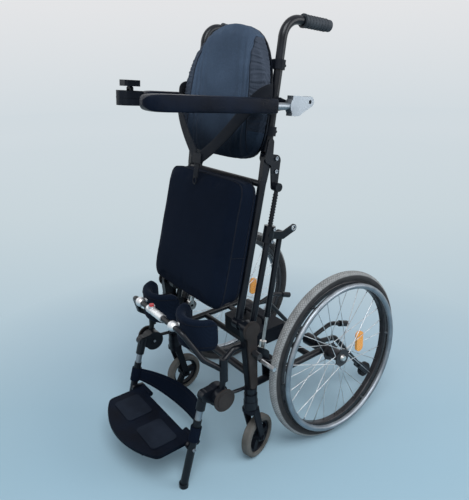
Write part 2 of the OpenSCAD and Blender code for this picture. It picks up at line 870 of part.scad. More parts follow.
module caster_hub() {
    caster_axle() difference() {
        union() {
            rotate_extrude() translate([caster_core_r - caster_core_t, -caster_web_t / 2])
                square([caster_core_t, caster_web_t]);
            cylinder(h = 2 * (fork_in - gap), d = caster_hub_d, center = true);
            for (i = [0 : caster_arms - 1]) rotate(90 + i * 360 / caster_arms)
                translate([0, -caster_arm_w / 2, -caster_web_t / 2])
                    cube([caster_core_r - caster_core_t / 2, caster_arm_w, caster_web_t]);
        }
        cylinder(h = 2 * caster_w, r = caster_bolt_d / 2 + run_fit, center = true);
    }
}
module caster_hub_left() { color(black_plastic) left() caster_place(caster_turn_left) caster_hub(); }
module caster_hub_right() { color(black_plastic) right() caster_place(-caster_turn_right) caster_hub(); }

module caster_tyre() {
    caster_axle() rotate_extrude() translate([caster_core_r, 0]) {
        translate([0, -caster_w / 2]) square([caster_tyre_h / 2, caster_w]);
        translate([caster_tyre_h / 2, 0]) rounded(caster_tyre_h, caster_w, caster_tyre_edge);
    }
}
module caster_tyre_left() { color(tyre_grey) left() caster_place(caster_turn_left) caster_tyre(); }
module caster_tyre_right() { color(tyre_grey) right() caster_place(-caster_turn_right) caster_tyre(); }

// Rear wheels, drawn round their own axis
module tyre() {
    rotate_extrude() difference() {
        union() {
            translate([wheel_r - crown_r, 0]) circle(crown_r);
            translate([rim_r, -rim_w / 2]) square([wheel_r - crown_r - rim_r, rim_w]);
        }
        translate([wheel_r - crown_r, 0])
            for (s = [-1, 0, 1]) rotate(s * groove_turn) translate([crown_r, 0]) circle(groove_r);
        translate([0, -crown_r]) square([rim_r + run_fit, 2 * crown_r]);
    }
}
module tyre_left() { color(tyre_grey) left() wheel_place() tyre(); }
module tyre_right() { color(tyre_grey) right() wheel_place() tyre(); }

module spoke(i) {
    end = i * 360 / spoke_count;
    start = end + (i % 4 < 2 ? 1 : -1) * spoke_cross;
    ring = flange_d * spoke_ring_share;
    z = (i % 2 == 0 ? 1 : -1) * (flange_z + flange_t / 2);
    rod([ring * cos(start), ring * sin(start), z], (rim_r - rim_h + spoke_sink) * [cos(end), sin(end), 0],
        spoke_d / 2);
}
module laced_wheel() {
    difference() {
        union() {
            rotate_extrude() difference() {
                translate([rim_r - rim_h / 2, 0]) rounded(rim_h, rim_w, rim_edge);
                translate([rim_r, 0]) circle(rim_well_r);
            }
            cylinder(h = hub_w, d = hub_d, center = true);
            for (s = [0, 1]) mirror([0, 0, s]) translate([0, 0, flange_z]) cylinder(h = flange_t,
                d = flange_d);
            for (i = [0 : spoke_count - 1]) spoke(i);
        }
        cylinder(h = 2 * hub_w, r = axle_r + run_fit, center = true);
    }
}
module laced_wheel_left() { color(bright) left() wheel_place() laced_wheel(); }
module laced_wheel_right() { color(bright) right() wheel_place() laced_wheel(); }

module handrim() {
    translate([0, 0, handrim_gap]) rotate_extrude() translate([handrim_d / 2, 0]) circle(d = handrim_tube);
    for (i = [0 : tab_count - 1]) rotate((i + tab_turn_share) * 360 / tab_count)
        translate([handrim_d / 2, 0, rim_w / 2]) cylinder(h = handrim_gap - rim_w / 2, d = tab_d);
}
module handrim_left() { color(bright) left() wheel_place() handrim(); }
module handrim_right() { color(bright) right() wheel_place() handrim(); }

module reflector() {
    translate([reflector_at[0], reflector_at[1], reflector_out - reflector_t]) linear_extrude(reflector_t)
        rounded(reflector_l, reflector_w, reflector_r);
}
module reflector_left() { color(amber) left() wheel_place() reflector(); }
module reflector_right() { color(amber) right() wheel_place() reflector(); }

module axle_pins() {
    color(bright) both() wheel_place() {
        translate([0, 0, -sleeve_in]) cylinder(h = sleeve_in + hub_w / 2 + gap, r = axle_r);
        translate([0, 0, hub_w / 2 + gap]) cylinder(h = axle_cap_h, d1 = axle_cap_d, d2 = axle_cap_end_d);
        translate([0, 0, -sleeve_out]) cylinder(h = sleeve_out - hub_w / 2 - gap, d = axle_cap_d);
    }
}

module brake_lever() {
    x = frame_out + brake_lug_t + gap;
    difference() {
        plate(x, brake_plate_t) {
            tapered(brake_at, brake_lug_r, brake_peg_at, brake_peg_r);
            tapered(brake_peg_at, brake_peg_r, brake_hand_at, brake_peg_r);
        }
        pin(x - over, brake_at, brake_plate_t + 2 * over, brake_pin_r + run_fit);
    }
    pin(x + brake_plate_t, brake_peg_at, brake_peg_l, brake_peg_r);
    pin(x, brake_hand_at, brake_hand_l, brake_hand_r);
}
module brake_lever_left() { color(black_steel) left() brake_lever(); }
module brake_lever_right() { color(black_steel) right() brake_lever(); }

// Seat
module seat_rail() {
    difference() {
        union() {
            rod([rail_x, 0, 0], [rail_x, 0, seat_l - hip_tongue_l], seat_r);
            pin(rail_x - barrel_w / 2, [0, 0], barrel_w, barrel_r);
            plate(rail_x - hip_barrel_w / 2, hip_barrel_w)
                tapered([0, seat_l - hip_tongue_l], hip_tongue_r, [0, seat_l], hip_barrel_r);
            pin(rail_x - hip_barrel_w / 2 - gap - ear_t, [0, seat_l], hip_barrel_w + 2 * (gap + ear_t),
                hip_pin_r);
        }
        pin(rail_x - barrel_w, [0, 0], 2 * barrel_w, pivot_r + run_fit);
    }
}
module seat_frame() {
    color(black_steel) {
        both() seat_place() seat_rail();
        left() seat_place() for (share = seat_cross_shares)
            cross_tube([0, seat_l * share], 2 * seat_cross_r, rail_x);
    }
}

module seat_pan() {
    mid = (pan_span[0] + pan_span[1]) / 2;
    color(black_plastic) left() seat_place() translate([0, -seat_cross_r, mid]) rotate([90, 0, 0])
        linear_extrude(pan_t) difference() {
            rounded(pan_w, pan_span[1] - pan_span[0], pan_r);
            for (i = [0 : pan_holes[0] - 1], j = [0 : pan_holes[1] - 1])
                translate([(i - (pan_holes[0] - 1) / 2) * pan_hole_pitch[0],
                           (j - (pan_holes[1] - 1) / 2) * pan_hole_pitch[1]]) circle(pan_hole_r);
        }
}

function cushion_ring(inset, depth) = [for (p = pad_ring(cushion_w - 2 * inset, cushion_l - 2 * inset,
    cushion_power, 0))
    [p[0] * (1 - pad_draw_share * (1 - pow(2 * p[2] / cushion_l, 2))),
     -depth * (1 - cushion_wedge_share * 2 * p[2] / cushion_l),
     p[2] * (1 - pad_draw_share * (1 - pow(2 * p[0] / cushion_w, 2)))
         + min(0, p[2]) * 2 * cushion_lip / cushion_l * depth / cushion_t]];
module seat_cushion() {
    color(cloth) left() seat_place() translate([0, -seat_cross_r - pan_t, cushion_from + cushion_l / 2])
        pad_form([for (s = pad_shares) cushion_ring(s[0] * cushion_t, s[1] * cushion_t)]);
}

// Push links keep the back upright as the seat swings
module push_link(plate_x) {
    rod_from = clamp_rise + clamp_h / 2;
    difference() {
        union() {
            rod([0, 0, 0], [0, 0, clamp_rise], link_r);
            pin(-link_eye_w / 2, [0, 0], link_eye_w, link_eye_r);
            translate([0, 0, clamp_rise - clamp_h / 2]) cylinder(h = clamp_h, r = clamp_r);
            for (z = [-1, 1]) pin(-clamp_bolt_l / 2, [0, clamp_rise + z * clamp_bolt_rise], clamp_bolt_l,
                clamp_bolt_r);
            rod([0, 0, rod_from], [0, 0, seat_l], link_rod_r);
            for (i = [1 : link_rib_count]) translate([0, 0, rod_from + i * link_rib_pitch - link_rib_h])
                cylinder(h = link_rib_h, r = link_rib_r);
            pin(-link_eye_w / 2, [0, seat_l], link_eye_w, link_eye_r);
            plate(plate_x, clamp_plate_t) {
                tapered([0, clamp_rise], clamp_plate_r, [lift_head, clamp_rise], clamp_plate_r);
                tapered([lift_head, clamp_rise], clamp_plate_r, clamp_ring_at + [0, clamp_rise],
                    clamp_plate_r);
            }
        }
        pin(-link_eye_w, [0, 0], 2 * link_eye_w, link_pin_r + run_fit);
        pin(-link_eye_w, [0, seat_l], 2 * link_eye_w, link_pin_top_r + run_fit);
        pin(-2 * link_eye_w, clamp_ring_at + [0, clamp_rise], 4 * link_eye_w, clamp_ring_bore_r);
    }
}
clamp_plate_x = link_eye_w / 2 + clamp_gap;
module push_link_left() { color(black_steel) left() link_place() push_link(clamp_plate_x); }
module push_link_right() {
    color(black_steel) left() translate([-2 * link_x, 0, 0]) link_place()
        push_link(-clamp_plate_x - clamp_plate_t);
}

module lift_screw() {
    difference() {
        union() {
            pin(-gear_w / 2, [0, 0], gear_w, gear_r);
            cylinder(h = gear_neck_l, r = gear_neck_r);
            cylinder(h = screw_l, r = screw_r);
        }
        pin(-gear_w, [0, 0], 2 * gear_w, link_pin_r + run_fit);
    }
}
module lift_screw_left() { color(black_plastic) left() lift_place() lift_screw(); }
module lift_screw_right() { color(black_plastic) right() lift_place() lift_screw(); }

module lift_tube() {
    difference() {
        union() {
            translate([0, 0, lift_tube_from]) {
                cylinder(h = lift_l - lift_tube_from, r = lift_tube_r);
                cylinder(h = lift_collar_h, r = lift_collar_r);
            }
            pin(-lift_eye_w / 2, [0, lift_l], lift_eye_w, lift_eye_r);
        }
        translate([0, 0, lift_tube_from - over])
            cylinder(h = lift_l - lift_tube_from - lift_eye_r, r = screw_r + gap);
    }
}
module lift_tube_left() { color(black_steel) left() lift_place() lift_tube(); }
module lift_tube_right() { color(black_steel) right() lift_place() lift_tube(); }

// Back
module cane() {
    ear_in = rail_x - hip_barrel_w / 2 - gap - ear_t;
    ear_out = rail_x + hip_barrel_w / 2 + gap;
    difference() {
        union() {
            bent_tube([[rail_x, 0, cane_from], [rail_x, 0, cane_l],
                       [rail_x, handle_l * cos(handle_rise), cane_l + handle_l * sin(handle_rise)]],
                           cane_r, cane_bend);
            plate(ear_in, ear_t) tapered([0, 0], ear_r, [0, ear_rise], ear_top_r);
            plate(ear_out, ear_t) {
                tapered([0, 0], ear_r, [0, ear_rise], ear_top_r);
                tapered([0, 0], ear_r, leaf_at, leaf_top_r);
                tapered(leaf_at, leaf_top_r, link_top_local, leaf_low_r);
            }
            for (at = leaf_bolts_at) pin(ear_out + ear_t, at, leaf_bolt_h, leaf_bolt_r);
            pin(ear_out, link_top_local, ear_t + link_eye_w, link_pin_top_r);
        }
        pin(ear_in - over, [0, 0], ear_out + ear_t - ear_in + 2 * over, hip_pin_r + run_fit);
    }
}
module back_canes() { color(black_steel) both() back_place() cane(); }

module push_grips() {
    lip_r = grip_r + grip_lip;
    color(rubber) both() back_place() translate([rail_x, 0, cane_l]) rotate([handle_rise - 90, 0, 0])
        translate([0, 0, handle_l + grip_over - grip_l]) difference() {
            union() {
                cylinder(h = grip_l, r = grip_r);
                cylinder(h = grip_lip_h, r = lip_r);
                for (i = [0 : grip_rib_count - 1])
                    translate([0, 0, grip_rib_from + i * grip_rib_pitch]) rotate_extrude()
                        translate([grip_r, 0]) circle(grip_rib_r);
            }
            translate([0, 0, -over]) cylinder(h = grip_l - grip_over + over, r = cane_r);
        }
}

function back_outline(inset) = [for (i = [0 : pad_sides - 1])
    let (a = pad_turn(i), up = sin(a) > 0, e = up ? back_up_power : back_low_power,
        l = up ? back_up : back_low)
    [(back_w / 2 - inset) * bulge(cos(a), e), (l - inset) * bulge(sin(a), e) + back_mid]];
function shell_back(x) = shell_set - shell_bow_r + sqrt(shell_bow_r * shell_bow_r - x * x);

// The bowed sheet, tall enough for any outline
module bowed(t) {
    translate([0, shell_set - shell_bow_r, -back_low]) linear_extrude(2 * (back_up + back_low))
        intersection() {
        difference() {
            circle(shell_bow_r);
            circle(shell_bow_r - t);
        }
        translate([-back_w / 2, 0]) square([back_w, shell_bow_r]);
    }
}
module back_shell() {
    color(black_plastic) left() back_place() intersection() {
        bowed(shell_t);
        translate([0, back_w / 2, 0]) rotate([90, 0, 0]) linear_extrude(back_w)
            polygon(back_outline(shell_margin));
    }
}

function pleat(x) = pleat_d * exp(-pow((abs(x) - back_w * pleat_share) / pleat_w, 2));
function across_share(x) = pow(2 * x / back_w, 2);
function back_swell(p) = back_crown * (1 - across_share(p[0])) * sin(180 * (p[1] - back_mid + back_low)
    / (back_up + back_low));
function back_ring(inset, depth, front) = [for (p = back_outline(inset))
    [p[0], shell_back(p[0]) - shell_t - pad_lift - depth * (1 - back_edge_share * across_share(p[0]))
        - front * (back_swell(p) - pleat(p[0])), p[1]]];
module back_pad() {
    color(cloth) left() back_place() pad_form([for (s = pad_shares)
        back_ring(s[0] * back_t, s[1] * back_t, s[1] < front_share ? 0 : 1)]);
}

module cane_clamps() {
    boss_x = rail_x + cane_r;
    color(black_plastic) both() back_place() {
        difference() {
            for (z = collar_z) {
                translate([rail_x, 0, z - collar_h / 2]) cylinder(h = collar_h, r = collar_r);
                translate([rail_x - shell_foot_in - shell_foot_w / 2, -shell_foot_y, z - collar_h / 2])
                    cube([shell_foot_w, shell_foot_y, collar_h]);
                translate([rail_x, 0, z]) rotate([-90, 0, 0]) cylinder(h = collar_bolt_l,
                    r = collar_bolt_r);
            }
            translate([rail_x, 0, 0]) cylinder(h = cane_l, r = cane_r);
            bowed(shell_bow_r / 2);
        }
        difference() {
            union() {
                translate([rail_x, 0, arm_pivot_at[1] - arm_collar_h / 2]) cylinder(h = arm_collar_h,
                    r = collar_r);
                plate(boss_x, arm_lug_t) tapered([0, arm_pivot_at[1]], collar_r, arm_pivot_at, arm_boss_r);
                pin(boss_x, arm_pivot_at, arm_x - bracket_t / 2 - gap - boss_x, arm_boss_r);
                pin(boss_x, arm_pivot_at, arm_x + bracket_t / 2 - bracket_wall - gap - boss_x, arm_pivot_r);
            }
            translate([rail_x, 0, 0]) cylinder(h = cane_l, r = cane_r);
            bowed(shell_bow_r / 2);
        }
    }
}

module waist_belt() {
    color(cloth) {
        both() back_place() strap(belt_path, belt_w, belt_t, [0, 0, 1]);
        left() back_place() strap(tail_path, tail_w, belt_t, [1, 0, 0]);
    }
}
module belt_buckle() {
    color(black_plastic) left() back_place() translate(buckle_at + [0, buckle_size[1] / 2, 0])
        rotate([90, 0, 0]) linear_extrude(buckle_size[1]) rounded(buckle_size[0], buckle_size[2], buckle_r);
}

// Armrests, along their own direction with the pivot at the origin
module arm_bracket(rod_l) {
    difference() {
        union() {
            plate(-bracket_t / 2, bracket_t) {
                tapered([0, 0], bracket_r, bracket_nose_at, bracket_nose_r);
                translate([bracket_front, -bracket_r]) square([-bracket_front, 2 * bracket_r]);
            }
            rod([0, bracket_front, arm_rod_z], [0, bracket_front - rod_l, arm_rod_z], arm_rod_r);
        }
        pin(-bracket_t, [0, 0], bracket_t + bracket_t / 2 - bracket_wall, arm_pivot_r + run_fit);
        pin(-bracket_t, bracket_nose_at, 2 * bracket_t, bracket_hole_r);
    }
}
module arm_bracket_left() { color(bright) left() arm_place() arm_bracket(arm_rod_l); }
module arm_bracket_right() { color(bright) right() arm_place() arm_bracket(arm_rod_right_l); }

module arm_pad(rod_l, l) {
    translate([0, bracket_front - rod_l - l / 2, arm_rod_z - arm_pad_h / 2]) rotate([-90, 0, 0])
        pad_form([for (s = pad_shares) pad_ring(arm_pad_w - 2 * min(s[0], arm_pad_share) * arm_pad_h / 2,
            l - s[0] * arm_pad_h, arm_pad_power, -s[1] * arm_pad_h)]);
}
module arm_pad_left() { color(black_plastic) left() arm_place() arm_pad(arm_rod_l, arm_pad_left_l); }
module arm_pad_right() { color(black_plastic) right() arm_place() arm_pad(arm_rod_right_l,
    arm_pad_right_l); }

box_y = bracket_front - arm_rod_right_l - arm_pad_right_l - box_l / 2;
module control_box() {
    post_x = paddle_lug_w / 2 + gap;
    color(black_plastic) right() arm_place() translate([0, box_y, box_top]) {
        translate([0, 0, -box_h]) linear_extrude(box_h) rounded(box_w, box_l, box_r);
        translate([0, 0, -box_h / 2]) linear_extrude(box_lip) rounded(box_w + box_lip, box_l, box_r);
        for (x = [post_x, -post_x - paddle_post_t]) difference() {
            plate(x, paddle_post_t) tapered([0, -over], paddle_lug_r, [0, paddle_rise], paddle_lug_r);
            pin(x - over, [0, paddle_rise], paddle_post_t + 2 * over, paddle_pin_r + run_fit);
        }
    }
}
module control_paddle() {
    pin_l = paddle_lug_w + 2 * (gap + paddle_post_t);
    color(black_plastic) right() arm_place() translate([0, box_y, box_top + paddle_rise]) {
        translate([0, 0, paddle_lug_r + gap]) linear_extrude(paddle_t) rounded(paddle_w, paddle_l,
            paddle_r);
        plate(-paddle_lug_w / 2, paddle_lug_w) tapered([0, 0], paddle_lug_r, [0, paddle_lug_r],
            paddle_lug_r);
        pin(-pin_l / 2, [0, 0], pin_l, paddle_pin_r);
    }
}

// Leg rests
module leg_tubes() {
    color(bright) both() leg_place() translate([leg_x, -leg_offset, leg_bright_z])
        cylinder(h = leg_socket_z[0] - leg_bright_z, d = leg_tube_d);
}

module leg_post() {
    difference() {
        union() {
            plate(leg_lug_x[0], leg_lug_x[1] - leg_lug_x[0])
                tapered([0, 0], leg_lug_r, [-leg_offset, 0], leg_lug_low_r);
            translate([leg_x, -leg_offset, leg_socket_z[0]])
                cylinder(h = leg_socket_z[1] - leg_socket_z[0], r = leg_socket_r);
            translate([leg_x, -leg_offset, post_floor_z + sole_lift])
                cylinder(h = leg_bright_z - post_floor_z - sole_lift, d = post_d);
        }
        pin(leg_lug_x[0] - over, [0, 0], leg_lug_x[1] - leg_lug_x[0] + 2 * over, leg_pin_r + run_fit);
        translate([leg_x, -leg_offset, leg_bright_z]) cylinder(h = leg_socket_z[0] - leg_bright_z,
            d = leg_tube_d);
    }
}
module leg_posts() {
    sole_y = leg_at[0] - leg_offset * cos(leg_lean) + (post_floor_z + sole_lift) * sin(leg_lean);
    color(black_steel) both() {
        leg_place() leg_post();
        translate([leg_x, sole_y, 0]) cylinder(h = sole_h, r = sole_r);
        plate(foot_arm_x[0], foot_arm_x[1] - foot_arm_x[0])
            tapered([foot_post_y, foot_z], foot_arm_r, [-foot_hinge, foot_z], foot_ear_r);
        pin(foot_pin_in, [-foot_hinge, foot_z], foot_arm_x[1] - foot_pin_in, foot_pin_r);
    }
}

module foot_outline() {
    half = foot_w / 2;
    intersection() {
        union() {
            translate([-half, foot_corner_y]) square([foot_w, foot_rear_y - foot_corner_y]);
            translate([-half + foot_corner_r, foot_corner_y - foot_corner_r])
                square([foot_w - 2 * foot_corner_r, foot_corner_r]);
            for (s = [-1, 1]) translate([s * (half - foot_corner_r), foot_corner_y]) circle(foot_corner_r);
            translate([-half + foot_corner_r / 2, -foot_reach])
                square([foot_w - foot_corner_r, foot_reach + foot_corner_y]);
        }
        translate([0, foot_front_r - foot_reach]) circle(foot_front_r);
    }
}
module footplate() {
    bottom = foot_z - foot_t / 2;
    color(black_plastic) {
        left() {
            translate([0, 0, bottom]) linear_extrude(foot_t) foot_outline();
            for (i = [0 : foot_ribs - 1])
                translate([(i - (foot_ribs - 1) / 2) * foot_rib_pitch - foot_rib_w / 2, foot_rib_span[0],
                    bottom - foot_rib_h])
                    cube([foot_rib_w, foot_rib_span[1] - foot_rib_span[0], foot_rib_h]);
        }
        both() difference() {
            union() {
                pin(foot_barrel_in, [-foot_hinge, foot_z], foot_arm_x[0] - gap - foot_barrel_in,
                    foot_ear_r);
                translate([foot_barrel_in, foot_rear_y - over, bottom])
                    cube([foot_w / 2 - foot_barrel_in, over - foot_rear_y - foot_hinge, foot_t]);
            }
            pin(foot_pin_in - gap, [-foot_hinge, foot_z], foot_w, foot_pin_r + run_fit);
        }
    }
}
module foot_grips() {
    color(rubber) both() translate([foot_grip_at[0], foot_grip_at[1], foot_z + foot_t / 2])
        linear_extrude(foot_grip_t) rounded(foot_grip_w, foot_grip_l, foot_grip_r);
}

module calf_strap() {
    r = (leg_x * leg_x + strap_sag * strap_sag) / (2 * strap_sag);
    drop_r = (leg_x * leg_x + strap_drop * strap_drop) / (2 * strap_drop);
    low = strap_rise - strap_drop;
    color(cloth) left() leg_place() translate([0, -leg_offset, strap_top_z - strap_h]) difference() {
        union() {
            for (s = [-1, 1]) translate([s * leg_x, 0, 0]) cylinder(h = strap_h, r = strap_sleeve_r);
            intersection() {
                translate([0, strap_sag - r, low - over]) linear_extrude(strap_h - low) intersection() {
                    difference() {
                        circle(r);
                        circle(r - strap_t);
                    }
                    translate([-leg_x, r - strap_sag]) square([2 * leg_x, 2 * strap_sag]);
                }
                translate([0, -over, drop_r + low]) rotate([-90, 0, 0])
                    cylinder(h = 2 * strap_sag, r = drop_r);
            }
        }
        for (s = [-1, 1]) translate([s * leg_x, 0, -over]) cylinder(h = strap_h + 2 * over, d = post_d);
    }
}

// Knee support: two arms that swing outwards and meet in the middle
function bar_points() = [[hanger_x, knee_pin_y, bar_root_z], bar_low_at, bar_mid_at, [gap / 2, -bar_reach,
    bar_z]];
module knee_bar() {
    difference() {
        union() {
            bent_tube(bar_points(), bar_r, bar_bend);
            translate([hanger_x, knee_pin_y, knuckle_z[0]]) cylinder(h = knuckle_z[1] - knuckle_z[0],
                r = knuckle_r);
        }
        translate([hanger_x, knee_pin_y, knee_pin_z[0]])
            cylinder(h = knee_pin_z[1] - knee_pin_z[0], r = knee_pin_r + run_fit);
    }
}
module knee_bar_left() { color(black_steel) left() knee_bar(); }
module knee_bar_right() { color(black_steel) right() knee_bar(); }

module ball() {
    rotate([0, 90, 0]) rotate_extrude() difference() {
        circle(d = ball_d);
        translate([-ball_d, -ball_d]) square([ball_d + bar_r, 2 * ball_d]);
    }
}
module knee_fittings() {
    bar_at = [-bar_reach, bar_z];
    translate(at_x(ball_x, bar_at)) ball();
    difference() {
        rod([ball_x, bar_r + over - bar_reach, bar_z], [ball_x, cup_at[1] - cup_r + over, bar_z],
            cup_stem_r);
        translate([cup_at[0], cup_at[1], cup_at[2] - cup_h / 2]) cylinder(h = cup_h, r = cup_r);
    }
    difference() {
        union() {
            pin(gap / 2, bar_at, coupling_lip_l, coupling_r);
            pin(gap / 2, bar_at, coupling_l, coupling_neck_r);
            pin(gap / 2 + coupling_l - coupling_band_l, bar_at, coupling_band_l, coupling_r);
            children();
        }
        pin(0, bar_at, ball_x, bar_r);
    }
}
module knee_fittings_left() { color(bright) left() knee_fittings(); }
module knee_fittings_right() {
    button_at = [button_x, -bar_reach, bar_z];
    color(bright) right() difference() {
        knee_fittings() translate(button_at) cylinder(h = button_boss_h, r = button_boss_r);
        translate(button_at + [0, 0, button_boss_h - button_pocket_h])
            cylinder(h = button_pocket_h + over, r = button_r + gap);
    }
}
module release_button() {
    color(red) right() translate([button_x, -bar_reach, bar_z + button_boss_h - button_sunk])
        cylinder(h = button_h, r = button_r);
}

module knee_cup() {
    translate(cup_at) intersection() {
        rotate(-90 - cup_sweep / 2) rotate_extrude(angle = cup_sweep)
            translate([cup_r - cup_t / 2, 0]) rounded(cup_t, cup_h, cup_edge);
        plate(-cup_r - over, 2 * (cup_r + over)) translate([cup_rear - cup_r - over, 0])
            rounded(2 * (cup_r + over), cup_h, cup_lobe_r);
    }
}
module knee_cup_left() { color(cloth) left() knee_cup(); }
module knee_cup_right() { color(cloth) right() knee_cup(); }

side_frame_left();
side_frame_right();
cross_tubes();
pivot_covers();
battery_pack();
anti_tip_arms();
caster_housings();
axle_pins();
roller_left();
roller_right();
caster_fork_left();
caster_fork_right();
caster_hub_left();
caster_hub_right();
caster_tyre_left();
caster_tyre_right();
tyre_left();
tyre_right();
laced_wheel_left();
laced_wheel_right();
handrim_left();
handrim_right();
reflector_left();
reflector_right();
brake_lever_left();
brake_lever_right();
seat_frame();
seat_pan();
seat_cushion();
push_link_left();
push_link_right();
lift_screw_left();
lift_screw_right();
lift_tube_left();
lift_tube_right();
back_canes();
push_grips();
back_shell();
back_pad();
cane_clamps();
waist_belt();
belt_buckle();
arm_bracket_left();
arm_bracket_right();
arm_pad_left();
arm_pad_right();
control_box();
control_paddle();
leg_tubes();
leg_posts();
footplate();
foot_grips();
calf_strap();
knee_bar_left();
knee_bar_right();
knee_fittings_left();
knee_fittings_right();
knee_cup_left();
knee_cup_right();
release_button();
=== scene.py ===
"""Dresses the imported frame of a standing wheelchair: finishes, upholstery, webbing and small fittings."""
import logging
import math
from dataclasses import dataclass
from enum import Enum
from typing import Callable, Optional, Sequence

import bmesh
import bpy
from mathutils import Euler, Matrix, Vector
from mathutils.bvhtree import BVHTree


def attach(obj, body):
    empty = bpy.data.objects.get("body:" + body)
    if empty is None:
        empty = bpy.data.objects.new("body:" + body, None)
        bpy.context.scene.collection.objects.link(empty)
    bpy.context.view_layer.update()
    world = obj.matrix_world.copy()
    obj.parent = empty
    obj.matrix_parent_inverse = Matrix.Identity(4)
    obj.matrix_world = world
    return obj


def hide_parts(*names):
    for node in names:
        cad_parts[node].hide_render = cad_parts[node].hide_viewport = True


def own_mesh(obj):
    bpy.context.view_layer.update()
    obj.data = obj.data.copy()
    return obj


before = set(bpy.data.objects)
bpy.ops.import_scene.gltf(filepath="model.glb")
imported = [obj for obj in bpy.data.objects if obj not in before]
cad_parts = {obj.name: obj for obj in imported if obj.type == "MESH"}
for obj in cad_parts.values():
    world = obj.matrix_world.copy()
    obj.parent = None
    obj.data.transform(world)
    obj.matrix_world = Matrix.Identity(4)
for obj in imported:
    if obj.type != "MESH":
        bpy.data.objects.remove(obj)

LOG = logging.getLogger("wheelchair")
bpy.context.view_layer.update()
MM = 0.001
AXLE_Y = 192.5

Piece = bpy.types.Object
Material = bpy.types.Material
Colour = tuple[float, float, float]
Point = tuple[float, float, float]


class Side(Enum):
    """The user's two sides, with the sign of their X."""

    LEFT = 1
    RIGHT = -1

    @property
    def word(self) -> str:
        """The side as it stands in node and body names."""
        return self.name.lower()


class Grain(Enum):
    """How a moulded or coated skin is textured."""

    SPECKLE = "speckle"
    HIDE = "hide"


@dataclass(frozen=True)
class Place:
    """A leaning sub-assembly's own axes, in millimetres from the rear axle's middle."""

    origin: Point
    lean: float = 0.0

    def at(self, x: float, y: float, z: float) -> Vector:
        """Puts a point of the sub-assembly in the shared frame.

        Args:
            x, y, z: the point in the sub-assembly's axes, in millimetres.

        Returns:
            The point in metres.
        """
        c, s = math.cos(math.radians(self.lean)), math.sin(math.radians(self.lean))
        ox, oy, oz = self.origin
        return Vector((x + ox, y * c + z * s + oy + AXLE_Y, z * c - y * s + oz)) * MM

    def along(self, x: float, y: float, z: float) -> Vector:
        """Turns a direction of the sub-assembly into the shared frame."""
        return (self.at(x, y, z) - self.at(0, 0, 0)).normalized()

    def inner(self, p: Vector) -> Vector:
        """Reads a point of the shared frame in the sub-assembly's axes, in millimetres.

        Args:
            p: the point in metres.

        Returns:
            The point in millimetres.
        """
        c, s = math.cos(math.radians(self.lean)), math.sin(math.radians(self.lean))
        ox, oy, oz = self.origin
        y, z = p.y / MM - oy - AXLE_Y, p.z / MM - oz
        return Vector((p.x / MM - ox, y * c - z * s, y * s + z * c))


BASE = Place((0, 0, 0))
SEAT = Place((0, -350, 507), 12.5)
BACK = Place((0, -238.53, 1009.79), 9.8)
LEG = Place((0, -453, 298), 16.3)
ARM = Place((0, -184.9, 1155.79), 4.6)
ARM_X = 250.0
LINK = Place((0, -328.5, 422), 12.5)


